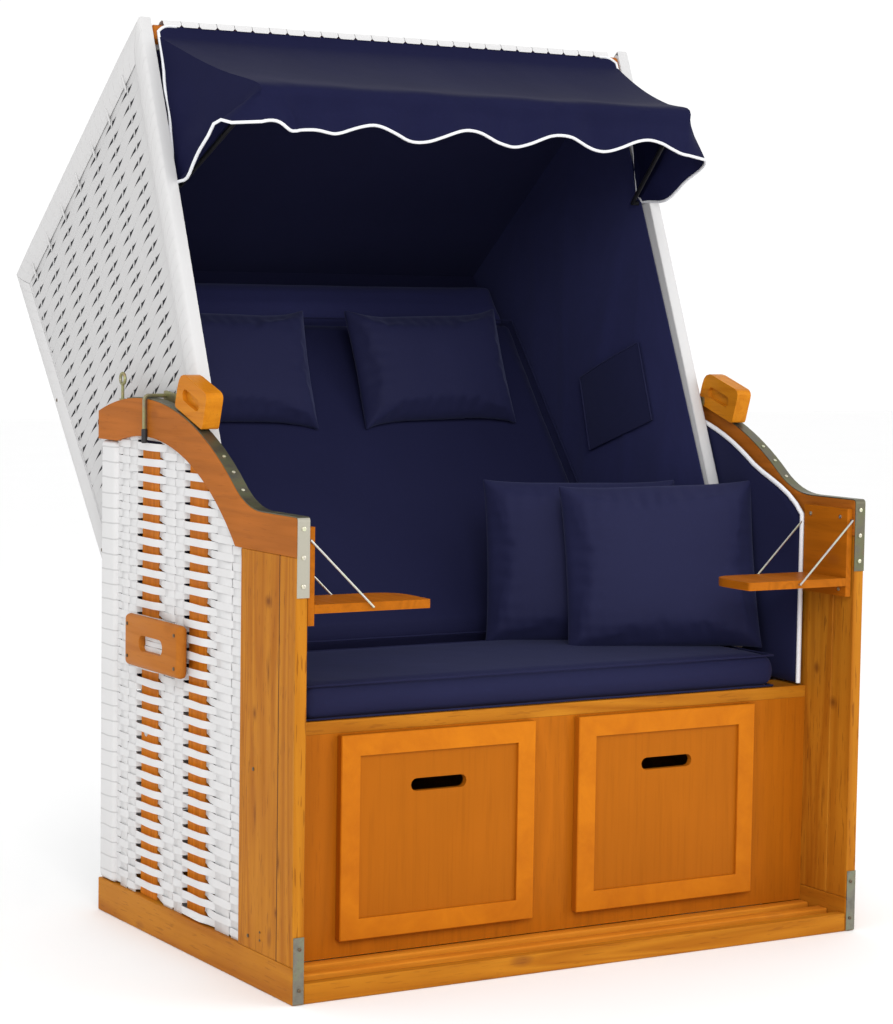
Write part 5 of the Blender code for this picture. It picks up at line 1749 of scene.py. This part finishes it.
class BeachChairColours(bpy.types.PropertyGroup):
    honey: FloatVectorProperty(name="Honey", description="Light varnished wood", subtype="COLOR",
                               default=(0.49, 0.190, 0.014))
    amber: FloatVectorProperty(name="Amber", description="Seat front and panel wood", subtype="COLOR",
                               default=(0.47, 0.132, 0.006))
    deep_grain: FloatVectorProperty(name="Deep grain", description="Dark grain bands", subtype="COLOR",
                                    default=(0.33, 0.100, 0.006))
    rail: FloatVectorProperty(name="Rail", description="Arm rails and slats", subtype="COLOR",
                              default=(0.44, 0.130, 0.015))
    navy: FloatVectorProperty(name="Navy", description="Cushion cloth", subtype="COLOR",
                              default=(0.0105, 0.0115, 0.042))
    strip_white: FloatVectorProperty(name="Strip white", description="Woven strip", subtype="COLOR",
                                     default=(0.65, 0.645, 0.645))


class CHAIR_OT_finishes(bpy.types.Operator):
    """Make the materials and give each solid its finish"""
    bl_idname = "chair.finishes"
    bl_label = "Finishes"

    def execute(self, context):
        make_looks()
        finish_cad_nodes()
        return {"FINISHED"}


class CHAIR_OT_basket_weave(bpy.types.Operator):
    """Weave the basket's sides and rear and wind its corner posts"""
    bl_idname = "chair.basket_weave"
    bl_label = "Basket weave"

    def execute(self, context):
        for side, tag, _ in SIDES:
            basket_side_weave(side, tag)
            basket_post(side, tag)
        rear_basket_weave()
        return {"FINISHED"}


class CHAIR_OT_hood_weave(bpy.types.Operator):
    """Weave the hood's sides, roof and back and wind its rims"""
    bl_idname = "chair.hood_weave"
    bl_label = "Hood weave"

    def execute(self, context):
        for side, tag, _ in SIDES:
            hood_side_weave(side, tag)
            hood_rim(side, tag)
        hood_shell_weave()
        roof_band()
        return {"FINISHED"}


class CHAIR_OT_hood_cloth(bpy.types.Operator):
    """Stretch the cloth inside the hood and sew on its pocket"""
    bl_idname = "chair.hood_cloth"
    bl_label = "Hood cloth"

    def execute(self, context):
        hood_lining_cloth()
        side_pocket()
        return {"FINISHED"}


class CHAIR_OT_awning(bpy.types.Operator):
    """Hang the awning with its piping"""
    bl_idname = "chair.awning"
    bl_label = "Awning"

    def execute(self, context):
        awning_cover()
        return {"FINISHED"}


class CHAIR_OT_side_linings(bpy.types.Operator):
    """Pad the insides of the basket's sides"""
    bl_idname = "chair.side_linings"
    bl_label = "Side linings"

    def execute(self, context):
        side_linings()
        return {"FINISHED"}


class CHAIR_OT_cushions(bpy.types.Operator):
    """Stuff the seat, back and head cushions"""
    bl_idname = "chair.cushions"
    bl_label = "Cushions"

    def execute(self, context):
        seat_and_back()
        cushion_seams()
        return {"FINISHED"}


class CHAIR_OT_pillows(bpy.types.Operator):
    """Sew and fill the neck pillows and the loose pillows"""
    bl_idname = "chair.pillows"
    bl_label = "Pillows"

    def execute(self, context):
        neck_pillows()
        throw_pillows()
        return {"FINISHED"}


class CHAIR_OT_fittings(bpy.types.Operator):
    """Set the screws and push the rubber tips on the guide rods"""
    bl_idname = "chair.fittings"
    bl_label = "Fittings"

    def execute(self, context):
        floor_slats()
        screws()
        carry_handles()
        board_joints()
        rubber_tips()
        return {"FINISHED"}


class CHAIR_OT_stage(bpy.types.Operator):
    """Lay the floor and set the light and the camera"""
    bl_idname = "chair.stage"
    bl_label = "Stage"

    def execute(self, context):
        make_stage()
        return {"FINISHED"}


OPERATORS = [CHAIR_OT_finishes, CHAIR_OT_basket_weave, CHAIR_OT_hood_weave, CHAIR_OT_hood_cloth, CHAIR_OT_awning,
             CHAIR_OT_side_linings, CHAIR_OT_cushions, CHAIR_OT_pillows, CHAIR_OT_fittings, CHAIR_OT_stage]


class CHAIR_PT_panel(bpy.types.Panel):
    """Pieces of the beach chair"""
    bl_label = "Beach chair"
    bl_idname = "CHAIR_PT_panel"
    bl_space_type = "VIEW_3D"
    bl_region_type = "UI"
    bl_category = "Beach chair"

    def draw(self, context):
        for item in OPERATORS:
            self.layout.operator(item.bl_idname)


CLASSES = [BeachChairSizes, BeachChairColours, *OPERATORS, CHAIR_PT_panel]


def register():
    for item in CLASSES:
        bpy.utils.register_class(item)
    bpy.types.Scene.beach_chair_sizes = PointerProperty(type=BeachChairSizes)
    bpy.types.Scene.beach_chair_colours = PointerProperty(type=BeachChairColours)


def unregister():
    del bpy.types.Scene.beach_chair_colours
    del bpy.types.Scene.beach_chair_sizes
    for item in reversed(CLASSES):
        bpy.utils.unregister_class(item)


def main():
    register()
    for item in OPERATORS:
        getattr(bpy.ops.chair, item.bl_idname.split(".")[1])()


if __name__ == "__main__":
    main()
